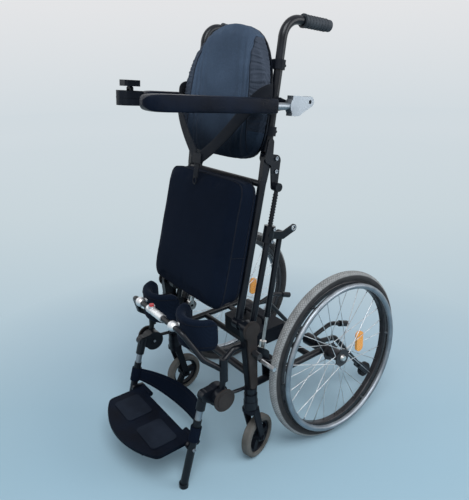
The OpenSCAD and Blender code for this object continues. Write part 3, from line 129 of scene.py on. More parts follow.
class Tree:
    """The node tree of a material or of the world, built from the shader backwards."""

    def __init__(self, name: str, world: bool = False) -> None:
        """Starts a material, or a world, with its shader and its coordinates.

        Args:
            name: the name.
            world: whether it is the world's tree.
        """
        self.owner = (bpy.data.worlds if world else bpy.data.materials).new(name)
        self.owner.use_nodes = True
        self.nodes = self.owner.node_tree.nodes
        self.shader = self.nodes["Background" if world else "Principled BSDF"]
        self.place = self.add("ShaderNodeTexCoord").outputs["Generated" if world else "Object"]

    def add(self, kind: str, **settings: object) -> bpy.types.Node:
        """Adds a node and sets its properties.

        Args:
            kind: the node's type.
            settings: its properties.

        Returns:
            The node.
        """
        node = self.nodes.new(kind)
        for key, value in settings.items():
            setattr(node, key, value)
        return node

    def join(self, output: object, socket: object) -> None:
        """Links an output to a socket, or sets the socket where a plain value is given.

        Args:
            output: the output or the value.
            socket: the input.
        """
        if isinstance(output, bpy.types.NodeSocket):
            self.owner.node_tree.links.new(output, socket)
        else:
            socket.default_value = output

    def fix(self, **values: object) -> None:
        """Sets the shader's own sockets, with _ standing for a space."""
        for key, value in values.items():
            self.shader.inputs[key.replace("_", " ")].default_value = value

    def wire(self, kind: str, inputs: dict[object, object], output: object = 0,
             **settings: object) -> object:
        """Adds a node, sets or links its inputs and gives one of its outputs.

        Args:
            kind: the node's type.
            inputs: a value or an output for each input's name or number.
            output: the wanted output's name or number, or None for all of them.
            settings: the node's properties.

        Returns:
            The output, or all outputs.
        """
        node = self.add(kind, **settings)
        for key, value in inputs.items():
            self.join(value, node.inputs[key])
        return node.outputs if output is None else node.outputs[output]

    def maths(self, work: str, a: object, b: object = 0.0) -> object:
        """Works on one number or on two."""
        return self.wire("ShaderNodeMath", {0: a, 1: b}, operation=work)

    def plus(self, a: object, b: object) -> object:
        """Adds two values."""
        return self.maths("ADD", a, b)

    def times(self, a: object, b: object) -> object:
        """Multiplies two values."""
        return self.maths("MULTIPLY", a, b)

    def ribs(self, value: object) -> object:
        """Gives the height of a row of round ribs."""
        return self.maths("ABSOLUTE", self.maths("SINE", value))

    def split(self, vector: object = None) -> Sequence[object]:
        """Gives the three parts of a vector, or of the coordinates."""
        return self.wire("ShaderNodeSeparateXYZ", {0: vector or self.place}, None)

    def past(self, value: object, edge: float, soft: float) -> object:
        """Gives 0 below an edge and 1 above it, with a soft step."""
        return self.ramp(value, 0.0, 1.0, edge, edge + soft)

    def mix(self, share: object, low: object, high: object) -> object:
        """Mixes two colours by a share."""
        return self.wire("ShaderNodeMix", {0: share, 6: low, 7: high}, 2, data_type="RGBA")

    def seen(self) -> object:
        """Gives 1 for rays from the camera, straight or by way of a mirror or a clear body.

        Returns:
            The share, 0 or 1.
        """
        path = self.add("ShaderNodeLightPath").outputs
        bounced = self.maths("MAXIMUM", path["Is Glossy Ray"], path["Is Transmission Ray"])
        return self.maths("MAXIMUM", path["Is Camera Ray"], bounced)

    def cross_fade(self, share: object, other: object) -> None:
        """Shows another shader in place of the main one, by a share.

        Args:
            share: how much of the other shows.
            other: the other shader's output.
        """
        mixed = self.wire("ShaderNodeMixShader", {0: share, 1: self.shader.outputs[0], 2: other})
        output = next(n for n in self.nodes if n.bl_idname.startswith("ShaderNodeOutput"))
        self.join(mixed, output.inputs["Surface"])

    def stretch(self, scale: Point) -> object:
        """Stretches the coordinates along their axes."""
        return self.wire("ShaderNodeMapping", {"Scale": scale, "Vector": self.place})

    def noise(self, scale: float, detail: float, vector: object = None) -> object:
        """Adds a cloudy pattern of the given fineness."""
        inputs = {"Scale": scale, "Detail": detail, "Vector": vector or self.place}
        return self.wire("ShaderNodeTexNoise", inputs)

    def cells(self, scale: float, edges: bool = False) -> object:
        """Adds a pattern of cells, or of the lines between them."""
        return self.wire("ShaderNodeTexVoronoi", {"Scale": scale, "Vector": self.place}, "Distance",
                         feature="DISTANCE_TO_EDGE" if edges else "F1")

    def ramp(self, value: object, low: object, high: object,
             start: float = 0.3, end: float = 0.7) -> object:
        """Spreads a value between two colours or two numbers.

        Args:
            value: what is spread.
            low, high: the colours or numbers at both ends.
            start, end: the values at both ends.

        Returns:
            The colour or number.
        """
        if isinstance(low, (int, float)):
            return self.wire("ShaderNodeMapRange", {"Value": value, "From Min": start, "From Max": end,
                                                    "To Min": low, "To Max": high})
        node = self.add("ShaderNodeValToRGB")
        for stop, position, colour in zip(node.color_ramp.elements, (start, end), (low, high)):
            stop.position, stop.color = position, (*colour, 1)
        self.join(value, node.inputs[0])
        return node.outputs[0]

    def bump(self, height: object, depth: float, strength: float, under: object = None) -> object:
        """Raises the surface by a height, over an earlier bump where one is given."""
        inputs = {"Strength": strength, "Distance": depth, "Height": height}
        return self.wire("ShaderNodeBump", {**inputs, "Normal": under} if under else inputs)

    def wear(self, colour: object, roughness: object, normal: object) -> Material:
        """Connects colour, roughness and normal to the shader and gives the material.

        Args:
            colour, roughness, normal: outputs or plain values.

        Returns:
            The material.
        """
        self.join(colour, self.shader.inputs["Base Color"])
        self.join(roughness, self.shader.inputs["Roughness"])
        self.join(normal, self.shader.inputs["Normal"])
        return self.owner

    def polar(self, centre: Vector, camber: float) -> tuple[object, object, object]:
        """Gives the coordinates round a wheel's axle.

        Args:
            centre: the wheel's middle in metres.
            camber: the wheel's lean about Y in radians.

        Returns:
            The place along the axle, the radius and the angle.
        """
        away = self.wire("ShaderNodeVectorMath", {0: self.place, 1: centre}, operation="SUBTRACT")
        inputs = {"Vector": away, "Angle": camber}
        x, y, z = self.split(self.wire("ShaderNodeVectorRotate", inputs, rotation_type="Y_AXIS"))
        radius = self.maths("SQRT", self.plus(self.times(y, y), self.times(z, z)))
        return x, radius, self.maths("ARCTAN2", z, y)


@dataclass(frozen=True)
class Coat:
    """A painted, moulded or rubber skin with fine grain, handling marks and dust."""

    name: str
    dark: Colour
    light: Colour
    rough: tuple[float, float]
    grain: Grain = Grain.SPECKLE
    pitch: float = 900.0
    depth: float = 0.00012
    gloss: float = 0.0
    shine: float = 0.22

    def material(self) -> Material:
        """Makes the skin's material.

        Returns:
            The material.
        """
        t = Tree(self.name)
        t.fix(Specular_IOR_Level=self.shine, Coat_Weight=self.gloss, Coat_Roughness=0.2)
        blotch = t.noise(14, 4)
        fine = t.noise(self.pitch, 2)
        if self.grain is Grain.HIDE:
            fine = t.ramp(t.cells(self.pitch, edges=True), 0.0, 1.0, 0.0, 0.25)
        scuffs = t.ramp(t.noise(60, 8, t.stretch((1, 1, 0.15))), 0.0, 0.12, 0.62, 0.72)
        colour = t.ramp(t.plus(blotch, scuffs), self.dark, self.light, 0.35, 0.85)
        roughness = t.ramp(t.plus(blotch, t.times(fine, 0.15)), *self.rough, 0.3, 0.85)
        return t.wear(colour, roughness, t.bump(fine, self.depth, 0.5, t.bump(blotch, 0.0004, 0.15)))


@dataclass(frozen=True)
class Metal:
    """Bare bright metal with drawn lines, light tarnish and fine scratches."""

    name: str
    dark: Colour
    light: Colour
    rough: tuple[float, float]
    drawn: Point = (1.0, 1.0, 0.04)

    def material(self) -> Material:
        """Makes the metal's material.

        Returns:
            The material.
        """
        t = Tree(self.name)
        t.fix(Metallic=1.0)
        lines = t.noise(1500, 2, t.stretch(self.drawn))
        cloud = t.noise(22, 5)
        colour = t.ramp(t.plus(cloud, t.times(lines, 0.25)), self.dark, self.light, 0.35, 0.8)
        roughness = t.ramp(t.plus(cloud, t.times(lines, 0.3)), *self.rough, 0.35, 0.9)
        return t.wear(colour, roughness, t.bump(lines, 0.00004, 0.3))


@dataclass(frozen=True)
class Cloth:
    """A woven cover: crossing threads, slubs, soft creases and a faint sheen; where heights are given,
    painted shade darkens its colour towards the bottom.
    """

    name: str
    dark: Colour
    light: Colour
    threads: float = 2600.0
    crease: float = 0.0012
    sheen: float = 0.25
    # Heights in metres over which painted shade darkens the cloth towards the bottom; None leaves it
    # unshaded.
    shade: Optional[tuple[float, float]] = None

    def material(self) -> Material:
        """Makes the cloth's material.

        Returns:
            The material.
        """
        t = Tree(self.name)
        t.fix(Sheen_Weight=self.sheen, Sheen_Roughness=0.45, Sheen_Tint=(0.55, 0.62, 0.8, 1.0),
              Specular_IOR_Level=0.04)
        warp = self._thread(t, "X", 0.0)
        weft = self._thread(t, "Z", 0.4)
        weave = t.maths("MAXIMUM", warp, weft)
        slub = t.noise(900, 2, t.stretch((1, 1, 0.2)))
        crease = t.noise(26, 4, t.stretch((1.6, 1.0, 0.6)))
        fade = t.noise(5, 3)
        tone = t.plus(t.times(weave, 0.3), t.times(t.plus(slub, fade), 0.45))
        # Painted shade: below these heights the colour darkens, standing in for the shadow under the arm pads
        # and on faces turned down.
        if self.shade:
            tone = t.times(tone, t.ramp(t.split()[2], 0.45, 1.0, *self.shade))
        colour = t.ramp(tone, self.dark, self.light, 0.3, 0.85)
        normal = t.bump(weave, 0.00018, 0.6, t.bump(crease, self.crease, 0.55))
        return t.wear(colour, t.ramp(slub, 0.72, 0.92), normal)

    def _thread(self, t: Tree, axis: str, skew: float) -> object:
        """Adds the threads of one direction, skewed so that they cross every face.

        Args:
            t: the cloth's tree.
            axis: the bands' direction.
            skew: a turn in radians.

        Returns:
            The threads' height.
        """
        turned = t.wire("ShaderNodeMapping", {"Rotation": (skew + 0.2, 0.1, 0.35), "Vector": t.place})
        inputs = {"Scale": self.threads / 20, "Distortion": 0.6, "Vector": turned}
        return t.wire("ShaderNodeTexWave", inputs, "Fac", wave_type="BANDS", bands_direction=axis)


@dataclass(frozen=True)
class Webbing:
    """Belt webbing with ribs along its length and picked edges."""

    name: str
    dark: Colour
    light: Colour

    def material(self) -> Material:
        """Makes the webbing's material from the strap's own UV map.

        Returns:
            The material.
        """
        t = Tree(self.name)
        t.fix(Sheen_Weight=0.03, Specular_IOR_Level=0.12)
        along, across, _ = t.split(t.add("ShaderNodeTexCoord").outputs["UV"])
        rib, pick = t.ribs(t.times(across, 34.0)), t.ribs(t.times(along, 700.0))
        weave = t.plus(t.times(rib, 0.6), t.times(pick, 0.4))
        cloud = t.noise(30, 4)
        colour = t.ramp(t.times(t.plus(weave, cloud), 0.5), self.dark, self.light, 0.25, 0.8)
        return t.wear(colour, t.ramp(cloud, 0.6, 0.82), t.bump(weave, 0.0004, 0.6))


@dataclass(frozen=True)
class Lens:
    """A clear coloured reflector with small corner prisms behind its face."""

    name: str
    deep: Colour
    bright: Colour

    def material(self) -> Material:
        """Makes the lens's material.

        Returns:
            The material.
        """
        t = Tree(self.name)
        t.fix(Coat_Weight=0.6, Coat_Roughness=0.05, Specular_IOR_Level=0.6)
        prisms = t.cells(420)
        tone = t.plus(prisms, t.times(t.noise(40, 2), 0.4))
        colour = t.ramp(tone, self.deep, self.bright, 0.3, 0.9)
        return t.wear(colour, t.ramp(prisms, 0.12, 0.3), t.bump(prisms, 0.0006, 0.5))


@dataclass(frozen=True)
class Tread:
    """Grey tyre rubber with a diamond tread, worn along its crown and dusty on its walls."""

    name: str
    centre: Point
    camber: float
    radius: float
    dark: Colour
    light: Colour
    pitch: float = 0.0095
    wall: float = 0.0125

    def material(self) -> Material:
        """Makes the tyre's material round its own axle.

        Returns:
            The material.
        """
        t = Tree(self.name)
        across, radius, angle = t.polar(Vector(self.centre), self.camber)
        along = t.times(angle, self.radius * math.pi / self.pitch)
        over = t.times(across, math.pi / self.pitch)
        one, two = t.ribs(t.plus(along, over)), t.ribs(t.maths("SUBTRACT", along, over))
        block = t.ramp(t.times(one, two), 0.0, 1.0, 0.12, 0.42)
        crown = t.past(radius, self.radius - 0.012, 0.008)
        height = t.times(block, crown)
        dust, fine = t.noise(35, 5), t.noise(900, 2)
        shade = t.plus(t.times(height, 0.35), t.plus(t.times(dust, 0.7), t.times(fine, 0.12)))
        edge = self.radius - self.wall
        wall = t.ramp(dust, (0.008, 0.0085, 0.01), (0.03, 0.03, 0.032))
        tread = t.ramp(shade, self.dark, self.light, 0.25, 0.9)
        colour = t.mix(t.past(radius, edge, 0.0025), wall, tread)
        normal = t.bump(height, 0.0016, 0.8, t.bump(fine, 0.0002, 0.3))
        return t.wear(colour, t.ramp(dust, 0.72, 0.92), normal)


@dataclass(frozen=True)
class WheelMetal:
    """A laced wheel: a dark anodised hub and rim band, and bright drawn spokes between them."""

    name: str
    centre: Point
    camber: float
    hub: float = 0.036
    rim: float = 0.243

    def material(self) -> Material:
        """Makes the wheel's material from its radius.

        Returns:
            The material.
        """
        t = Tree(self.name)
        _, radius, _ = t.polar(Vector(self.centre), self.camber)
        inside = t.ramp(radius, 1.0, 0.0, self.hub, self.hub + 0.001)
        outside = t.past(radius, self.rim, 0.001)
        dark = t.maths("MAXIMUM", inside, outside)
        cloud = t.noise(45, 4)
        metal = t.ramp(cloud, (0.42, 0.43, 0.45), (0.78, 0.79, 0.8))
        black = t.ramp(cloud, (0.012, 0.012, 0.014), (0.035, 0.035, 0.04))
        t.join(t.maths("SUBTRACT", 1.0, t.times(dark, 0.6)), t.shader.inputs["Metallic"])
        normal = t.bump(t.noise(1200, 2), 0.00005, 0.3)
        return t.wear(t.mix(dark, metal, black), t.ramp(cloud, 0.25, 0.45), normal)


@dataclass(frozen=True)
class PegSteel:
    """A black lever whose cross peg is bare steel beyond a plane."""

    name: str
    side: Side
    reach: float
    top: float = 0.412

    def material(self) -> Material:
        """Makes the lever's material from its place across the frame.

        Returns:
            The material.
        """
        t = Tree(self.name)
        x, _, z = t.split()
        out = t.times(x, float(self.side.value))
        beyond = t.past(out, self.reach, 0.0005)
        bare = t.times(beyond, t.ramp(z, 1.0, 0.0, self.top, self.top + 0.0005))
        cloud = t.noise(60, 4)
        black = t.ramp(cloud, (0.004, 0.0045, 0.006), (0.013, 0.014, 0.017))
        steel = t.ramp(cloud, (0.5, 0.51, 0.53), (0.8, 0.81, 0.82))
        t.join(bare, t.shader.inputs["Metallic"])
        normal = t.bump(t.noise(1100, 2), 0.00006, 0.3)
        return t.wear(t.mix(bare, black, steel), t.ramp(cloud, 0.28, 0.46), normal)


FRAME_BLACK = Coat("frame_black", (0.002, 0.003, 0.0055), (0.008, 0.0105, 0.016), (0.24, 0.4), gloss=0.12)
COVER_TAUPE = Coat("cover_taupe", (0.02, 0.017, 0.0165), (0.042, 0.036, 0.034),
                   (0.45, 0.62), pitch=1400, depth=0.0002, shine=0.15)
PLASTIC_BLACK = Coat("plastic_black", (0.002, 0.0032, 0.006), (0.0085, 0.0115, 0.0185),
                     (0.4, 0.6), pitch=1500, depth=0.0002, shine=0.14)
RUBBER_BLACK = Coat("rubber_black", (0.007, 0.0075, 0.009), (0.026, 0.027, 0.03),
                    (0.62, 0.85), pitch=700, depth=0.0003)
TYRE_GREY = Coat("tyre_grey", (0.13, 0.122, 0.113), (0.27, 0.255, 0.24),
                 (0.7, 0.9), pitch=600, depth=0.0003)
BUTTON_RED = Coat("button_red", (0.42, 0.006, 0.012), (0.66, 0.02, 0.03), (0.25, 0.4), gloss=0.3, shine=0.5)
PAD_BLACK = Coat("pad_black", (0.0006, 0.002, 0.0062), (0.0026, 0.007, 0.0185),
                 (0.24, 0.36), Grain.HIDE, 520, 0.0003, 0.0, 0.09)
BRIGHT_METAL = Metal("bright_metal", (0.2, 0.225, 0.255), (0.33, 0.365, 0.4), (0.36, 0.5))
SATIN_SILVER = Metal("satin_silver", (0.62, 0.63, 0.65), (0.8, 0.81, 0.82), (0.42, 0.55))
STEEL_BRIGHT = Metal("steel_bright", (0.58, 0.57, 0.55), (0.74, 0.73, 0.71), (0.26, 0.34), (1.0, 0.04, 1.0))
CLOTH_NAVY = Cloth("cloth_navy", (0.0014, 0.0028, 0.0068), (0.0056, 0.0098, 0.0205), sheen=0.01)
# The back's cloth and its gathered side panels carry painted shade: darker below 1.24 m, darkest under 1.04
# m.
CLOTH_BACK = Cloth("cloth_back", (0.0035, 0.0066, 0.0125), (0.084, 0.12, 0.18),
                   sheen=0.05, shade=(1.04, 1.24))
CLOTH_GATHER = Cloth("cloth_gather", (0.006, 0.009, 0.0155), (0.07, 0.084, 0.112),
                     1800, 0.0016, 0.06, (1.04, 1.24))
BELT_BLACK = Webbing("belt_black", (0.0015, 0.0022, 0.0042), (0.0085, 0.0108, 0.0165))
PIPING = Cloth("piping", (0.004, 0.005, 0.008), (0.012, 0.014, 0.02), 3000, 0.0002, 0.1)
AMBER_LENS = Lens("amber_lens", (0.75, 0.2, 0.01), (0.95, 0.42, 0.05))
GRIP_GREY = Coat("grip_grey", (0.007, 0.0105, 0.0185), (0.018, 0.0245, 0.038),
                 (0.6, 0.82), pitch=500, depth=0.0004, shine=0.08)
PLATE_NAVY = Coat("plate_navy", (0.0006, 0.002, 0.006), (0.0034, 0.0075, 0.018),
                  (0.5, 0.7), pitch=1200, depth=0.0003, shine=0.08)
CASTER_GREY = Coat("caster_grey", (0.085, 0.08, 0.072), (0.185, 0.174, 0.16),
                   (0.7, 0.9), pitch=600, depth=0.0003)
CLOTH_CUP = Cloth("cloth_cup", (0.0018, 0.0034, 0.0082), (0.0078, 0.0132, 0.026), sheen=0.07)
HAND_RUBBER = Coat("hand_rubber", (0.024, 0.028, 0.034), (0.07, 0.08, 0.092),
                   (0.5, 0.7), pitch=800, depth=0.0003)

SLOT_FINISHES = {finish.name: finish for finish in (
    FRAME_BLACK, COVER_TAUPE, PLASTIC_BLACK, RUBBER_BLACK, TYRE_GREY, BUTTON_RED, PAD_BLACK, BRIGHT_METAL,
    STEEL_BRIGHT, CLOTH_NAVY, AMBER_LENS)}


class Palette:
    """Makes each finish's material once."""

    _made: dict[str, Material] = {}

    @classmethod
    def of(cls, finish: object) -> Material:
        """Gives the material of a finish.

        Args:
            finish: the finish.

        Returns:
            Its one material.
        """
        if finish.name not in cls._made:
            cls._made[finish.name] = finish.material()
        return cls._made[finish.name]

    @classmethod
    def paint(cls, piece: Piece, finish: object) -> None:
        """Puts one finish on all of a piece."""
        piece.data.materials.clear()
        piece.data.materials.append(cls.of(finish))


class Bench:
    """Modelling by hand: primitives, edit mode and applied modifiers, one object at a time."""

    @staticmethod
    def clear() -> None:
        """Leaves edit mode and deselects everything."""
        if bpy.context.object and bpy.context.object.mode != "OBJECT":
            bpy.ops.object.mode_set(mode="OBJECT")
        bpy.ops.object.select_all(action="DESELECT")

    @classmethod
    def hold(cls, piece: Piece) -> None:
        """Makes a piece the only selected and active one.

        Args:
            piece: the piece.
        """
        cls.clear()
        piece.select_set(True)
        bpy.context.view_layer.objects.active = piece

    @classmethod
    def start(cls, name: str, primitive: str, **sizes: object) -> Piece:
        """Adds a primitive.

        Args:
            name: the piece's name.
            primitive: the operator's name after primitive_.
            sizes: the operator's settings.

        Returns:
            The new object, in object mode and selected.
        """
        cls.clear()
        getattr(bpy.ops.mesh, f"primitive_{primitive}_add")(**sizes)
        piece = bpy.context.object
        piece.name = piece.data.name = name
        return piece

    @classmethod
    def pick(cls, piece: Piece, wanted: Callable[[bmesh.types.BMFace], bool]) -> None:
        """Enters edit mode with only the wanted faces selected.

        Args:
            piece: the piece.
            wanted: tells whether a face is selected.
        """
        cls.hold(piece)
        bpy.ops.object.mode_set(mode="EDIT")
        bpy.ops.mesh.select_mode(type="FACE")
        bpy.ops.mesh.select_all(action="DESELECT")
        mesh = bmesh.from_edit_mesh(piece.data)
        for face in mesh.faces:
            face.select_set(wanted(face))
        bmesh.update_edit_mesh(piece.data)

    @classmethod
    def modify(cls, piece: Piece, kind: str, **settings: object) -> None:
        """Adds a modifier and applies it.

        Args:
            piece: the piece.
            kind: the modifier's type.
            settings: its properties.
        """
        cls.hold(piece)
        modifier = piece.modifiers.new(kind.title(), kind)
        for key, value in settings.items():
            setattr(modifier, key, value)
        bpy.ops.object.modifier_apply(modifier=modifier.name)

    @classmethod
    def divide(cls, piece: Piece, cuts: int) -> None:
        """Cuts every face of a piece into smaller ones.

        Args:
            piece: the piece.
            cuts: the cuts along each edge.
        """
        cls.pick(piece, lambda face: True)
        bpy.ops.mesh.subdivide(number_cuts=cuts)
        bpy.ops.object.mode_set(mode="OBJECT")

    @classmethod
    def ease(cls, piece: Piece, width: float, angle: float = 50.0) -> None:
        """Rounds the edges of a piece that are sharper than an angle in degrees."""
        cls.modify(piece, "BEVEL", width=width, segments=2, limit_method="ANGLE",
                   angle_limit=math.radians(angle))

    @staticmethod
    def shape(piece: Piece, move: Callable[[Vector], Vector]) -> None:
        """Moves every point of a piece.

        Args:
            piece: the piece.
            move: gives a point's new place.
        """
        for vertex in piece.data.vertices:
            vertex.co = move(vertex.co.copy())
        piece.data.update()

    @classmethod
    def settle(cls, piece: Piece, finish: object, body: str, slot: str,
               angle: float = 40.0) -> None:
        """Applies a piece's place, smooths, paints and hangs it on its body.

        Args:
            piece: the piece.
            finish: its finish.
            body: the body that carries it.
            slot: the record's material slot; not used.
            angle: edges sharper than this stay sharp, in degrees.
        """
        cls.hold(piece)
        bpy.ops.object.transform_apply(location=True, rotation=True, scale=True)
        bpy.ops.object.shade_smooth_by_angle(angle=math.radians(angle))
        Palette.paint(piece, finish)
        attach(piece, body)
        LOG.info("%s rides on %s", piece.name, body)

    @classmethod
    def tidy(cls, piece: Piece) -> None:
        """Merges doubles and turns all faces outwards.

        Args:
            piece: the piece.
        """
        cls.hold(piece)
        bpy.ops.object.mode_set(mode="EDIT")
        bpy.ops.mesh.select_all(action="SELECT")
        bpy.ops.mesh.remove_doubles(threshold=1e-5)
        bpy.ops.mesh.normals_make_consistent(inside=False)
        bpy.ops.object.mode_set(mode="OBJECT")

    @classmethod
    def tube(cls, name: str, points: Sequence[Vector], radius: float, closed: bool) -> Piece:
        """Sweeps a round cord along points.

        Args:
            name: the piece's name.
            points: its path in metres.
            radius: its radius in metres.
            closed: whether the path comes back to its start.

        Returns:
            The cord as a mesh.
        """
        cls.clear()
        curve = bpy.data.curves.new(name, "CURVE")
        curve.dimensions = "3D"
        curve.bevel_depth, curve.bevel_resolution, curve.use_fill_caps = radius, 2, not closed
        spline = curve.splines.new("POLY")
        spline.points.add(len(points) - 1)
        for knot, point in zip(spline.points, points):
            knot.co = (*point, 1)
        spline.use_cyclic_u = closed
        piece = bpy.data.objects.new(name, curve)
        bpy.context.collection.objects.link(piece)
        cls.hold(piece)
        bpy.ops.object.convert(target="MESH")
        return bpy.context.object

    @classmethod
    def weld(cls, name: str, pieces: Sequence[Piece]) -> Piece:
        """Joins two or more pieces into one object of a given name.

        Args:
            name: the new name.
            pieces: the pieces.

        Returns:
            The joined piece.
        """
        cls.hold(pieces[0])
        for piece in pieces:
            piece.select_set(True)
        bpy.ops.object.join()
        pieces[0].name = pieces[0].data.name = name
        return pieces[0]

    @classmethod
    def strap(cls, name: str, path: Sequence[Vector], across: Sequence[Vector], width: float,
              thick: float, cuts: int = 4) -> Piece:
        """Lays a flat strap along a path, with a UV map along and across it.

        Args:
            name: the piece's name.
            path: the middle line in metres.
            across: the width's direction at each point of the path.
            width: the strap's width in metres.
            thick: its thickness in metres.
            cuts: faces across it.

        Returns:
            The strap, a closed thin solid.
        """
        faces = len(path) - 1
        piece = cls.start(name, "grid", x_subdivisions=faces, y_subdivisions=cuts, size=1.0, calc_uvs=True)
        for vertex in piece.data.vertices:
            i = round((vertex.co.x + 0.5) * faces)
            vertex.co = path[i] + across[i] * (vertex.co.y * width)
        piece.data.update()
        cls.modify(piece, "SOLIDIFY", thickness=thick, offset=0.0)
        cls.ease(piece, thick * 0.3)
        return piece


class Upholstery:
    """Padded covers swollen from the frame's own solids, and the seams sewn on them."""

    FRAMES = 20
    PRESSURE = 4.0
    STRETCH_STIFFNESS = 12
    BENDING_STIFFNESS = 0.6

    @classmethod
    def swell(cls, node: str, name: str, shrink: float, voxel: float, cap: float,
              rest: Optional[Vector] = None) -> Piece:
        """Fills a cover by cloth simulation.

        Args:
            node: the solid that the cover stands for.
            name: the new piece's name.
            shrink: how far the cover starts inside the solid, in metres.
            voxel: the cloth's mesh size in metres.
            cap: how far a point may move outwards, in metres; a third of it inwards.
            rest: the way towards what the cover rests on, where it stays flat.

        Returns:
            The swollen cover, subdivided once.
        """
        Bench.clear()
        piece = bpy.data.objects.new(name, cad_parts[node].data.copy())
        bpy.context.collection.objects.link(piece)
        Bench.tidy(piece)
        Bench.modify(piece, "REMESH", mode="VOXEL", voxel_size=voxel, adaptivity=0.0)
        Bench.modify(piece, "SMOOTH", factor=0.5, iterations=3)
        Bench.modify(piece, "DISPLACE", strength=-shrink, mid_level=0.0)
        start = [(v.co.copy(), v.normal.copy()) for v in piece.data.vertices]
        Bench.hold(piece)
        cloth = piece.modifiers.new("Cloth", "CLOTH")
        s = cloth.settings
        s.quality, s.mass, s.use_pressure, s.uniform_pressure_force = 5, 0.3, True, cls.PRESSURE
        s.tension_stiffness = s.compression_stiffness = cls.STRETCH_STIFFNESS
        s.bending_stiffness, s.effector_weights.gravity = cls.BENDING_STIFFNESS, 0.0
        cloth.point_cache.frame_end = cls.FRAMES
        for number in range(1, cls.FRAMES + 1):
            bpy.context.scene.frame_set(number)
        bpy.ops.object.modifier_apply(modifier=cloth.name)
        bpy.context.scene.frame_set(1)
        for vertex, (was, out) in zip(piece.data.vertices, start):
            moved = vertex.co - was
            limit = cap if moved.dot(out) > 0 else cap / 3
            if rest:
                limit *= max(0.0, min(1.0, 1 - 2 * out.dot(rest)))
            if moved.length > limit:
                vertex.co = was + moved * (limit / moved.length)
        Bench.modify(piece, "SMOOTH", factor=0.5, iterations=6)
        Bench.modify(piece, "SUBSURF", levels=1, render_levels=1)
        return piece

    @staticmethod
    def sew(name: str, cover: Piece, body: str, points: Sequence[Vector], radius: float,
            closed: bool = False, cast: Optional[Vector] = None) -> None:
        """Sews a corded seam on a cover's surface.

        Args:
            name: the seam's name.
            cover: the padded piece.
            body: the body that carries both.
            points: the seam's rough path in metres.
            radius: the cord's radius in metres.
            closed: whether the seam is a loop.
            cast: the way the path is laid on the cover, where the nearest place isn't meant.
        """
        tree = BVHTree.FromObject(cover, bpy.context.evaluated_depsgraph_get())
        path = []
        for point in points:
            spot, normal, _, _ = tree.ray_cast(point, cast) if cast else tree.find_nearest(point)
            if spot is not None:
                path.append(spot + normal * radius * 0.3)
        Bench.settle(Bench.tube(name, path, radius, closed), PIPING, body, "cloth_navy")


@dataclass
class SeatCushion:
    """The seat's cushion: a boxed cover with a corded front edge and a sewn side panel."""

    width: float = 420.0
    low: float = 62.0
    high: float = 446.0
    rear: float = -15.0
    thick: float = 78.0
    power: float = 9.0
    lip: float = 34.0
    margin: float = 4.0
    side_margin: float = 6.0
    panel_height: float = 214.0
    rear_share: float = 0.2
    front_share: float = 0.86

    def ring(self, share: float, count: int = 160) -> list[Vector]:
        """Gives a squarish outline just outside the cover, at a share of its thickness.

        Args:
            share: the share of the thickness.
            count: how many points.

        Returns:
            The points in metres.
        """
        half, rise = self.width / 2 + self.margin, (self.high - self.low) / 2 + self.margin
        middle = (self.low + self.high) / 2
        points = []
        for i in range(count):
            a = 2 * math.pi * i / count
            x, z = (math.copysign(abs(v) ** (2 / self.power), v) for v in (math.cos(a), math.sin(a)))
            drop = min(0.0, z) * self.lip * share
            points.append(SEAT.at(half * x, self.rear - self.thick * share, middle + rise * z + drop))
        return points

    def build(self) -> None:
        """Swells the cushion and sews its seams."""
        behind = SEAT.along(0, 1, 0)
        cover = Upholstery.swell("seat_cushion", "seat_cushion_cover", 0.003, 0.006, 0.009, behind)
        Bench.settle(cover, CLOTH_NAVY, "seat", "cloth_navy", 60)
        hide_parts("seat_cushion")
        for name, share, radius in (("front", self.front_share, 0.0017), ("rear", self.rear_share, 0.0014)):
            Upholstery.sew(f"seat_cushion_{name}_seam", cover, "seat", self.ring(share), radius, True)
        for side in Side:
            x = side.value * (self.width / 2 + self.side_margin)
            shares = [self.rear_share + (self.front_share - self.rear_share) * i / 12 for i in range(13)]
            line = [SEAT.at(x, self.rear - self.thick * share, self.panel_height) for share in shares]
            Upholstery.sew(f"seat_cushion_side_seam_{side.word}", cover, "seat", line, 0.0011)


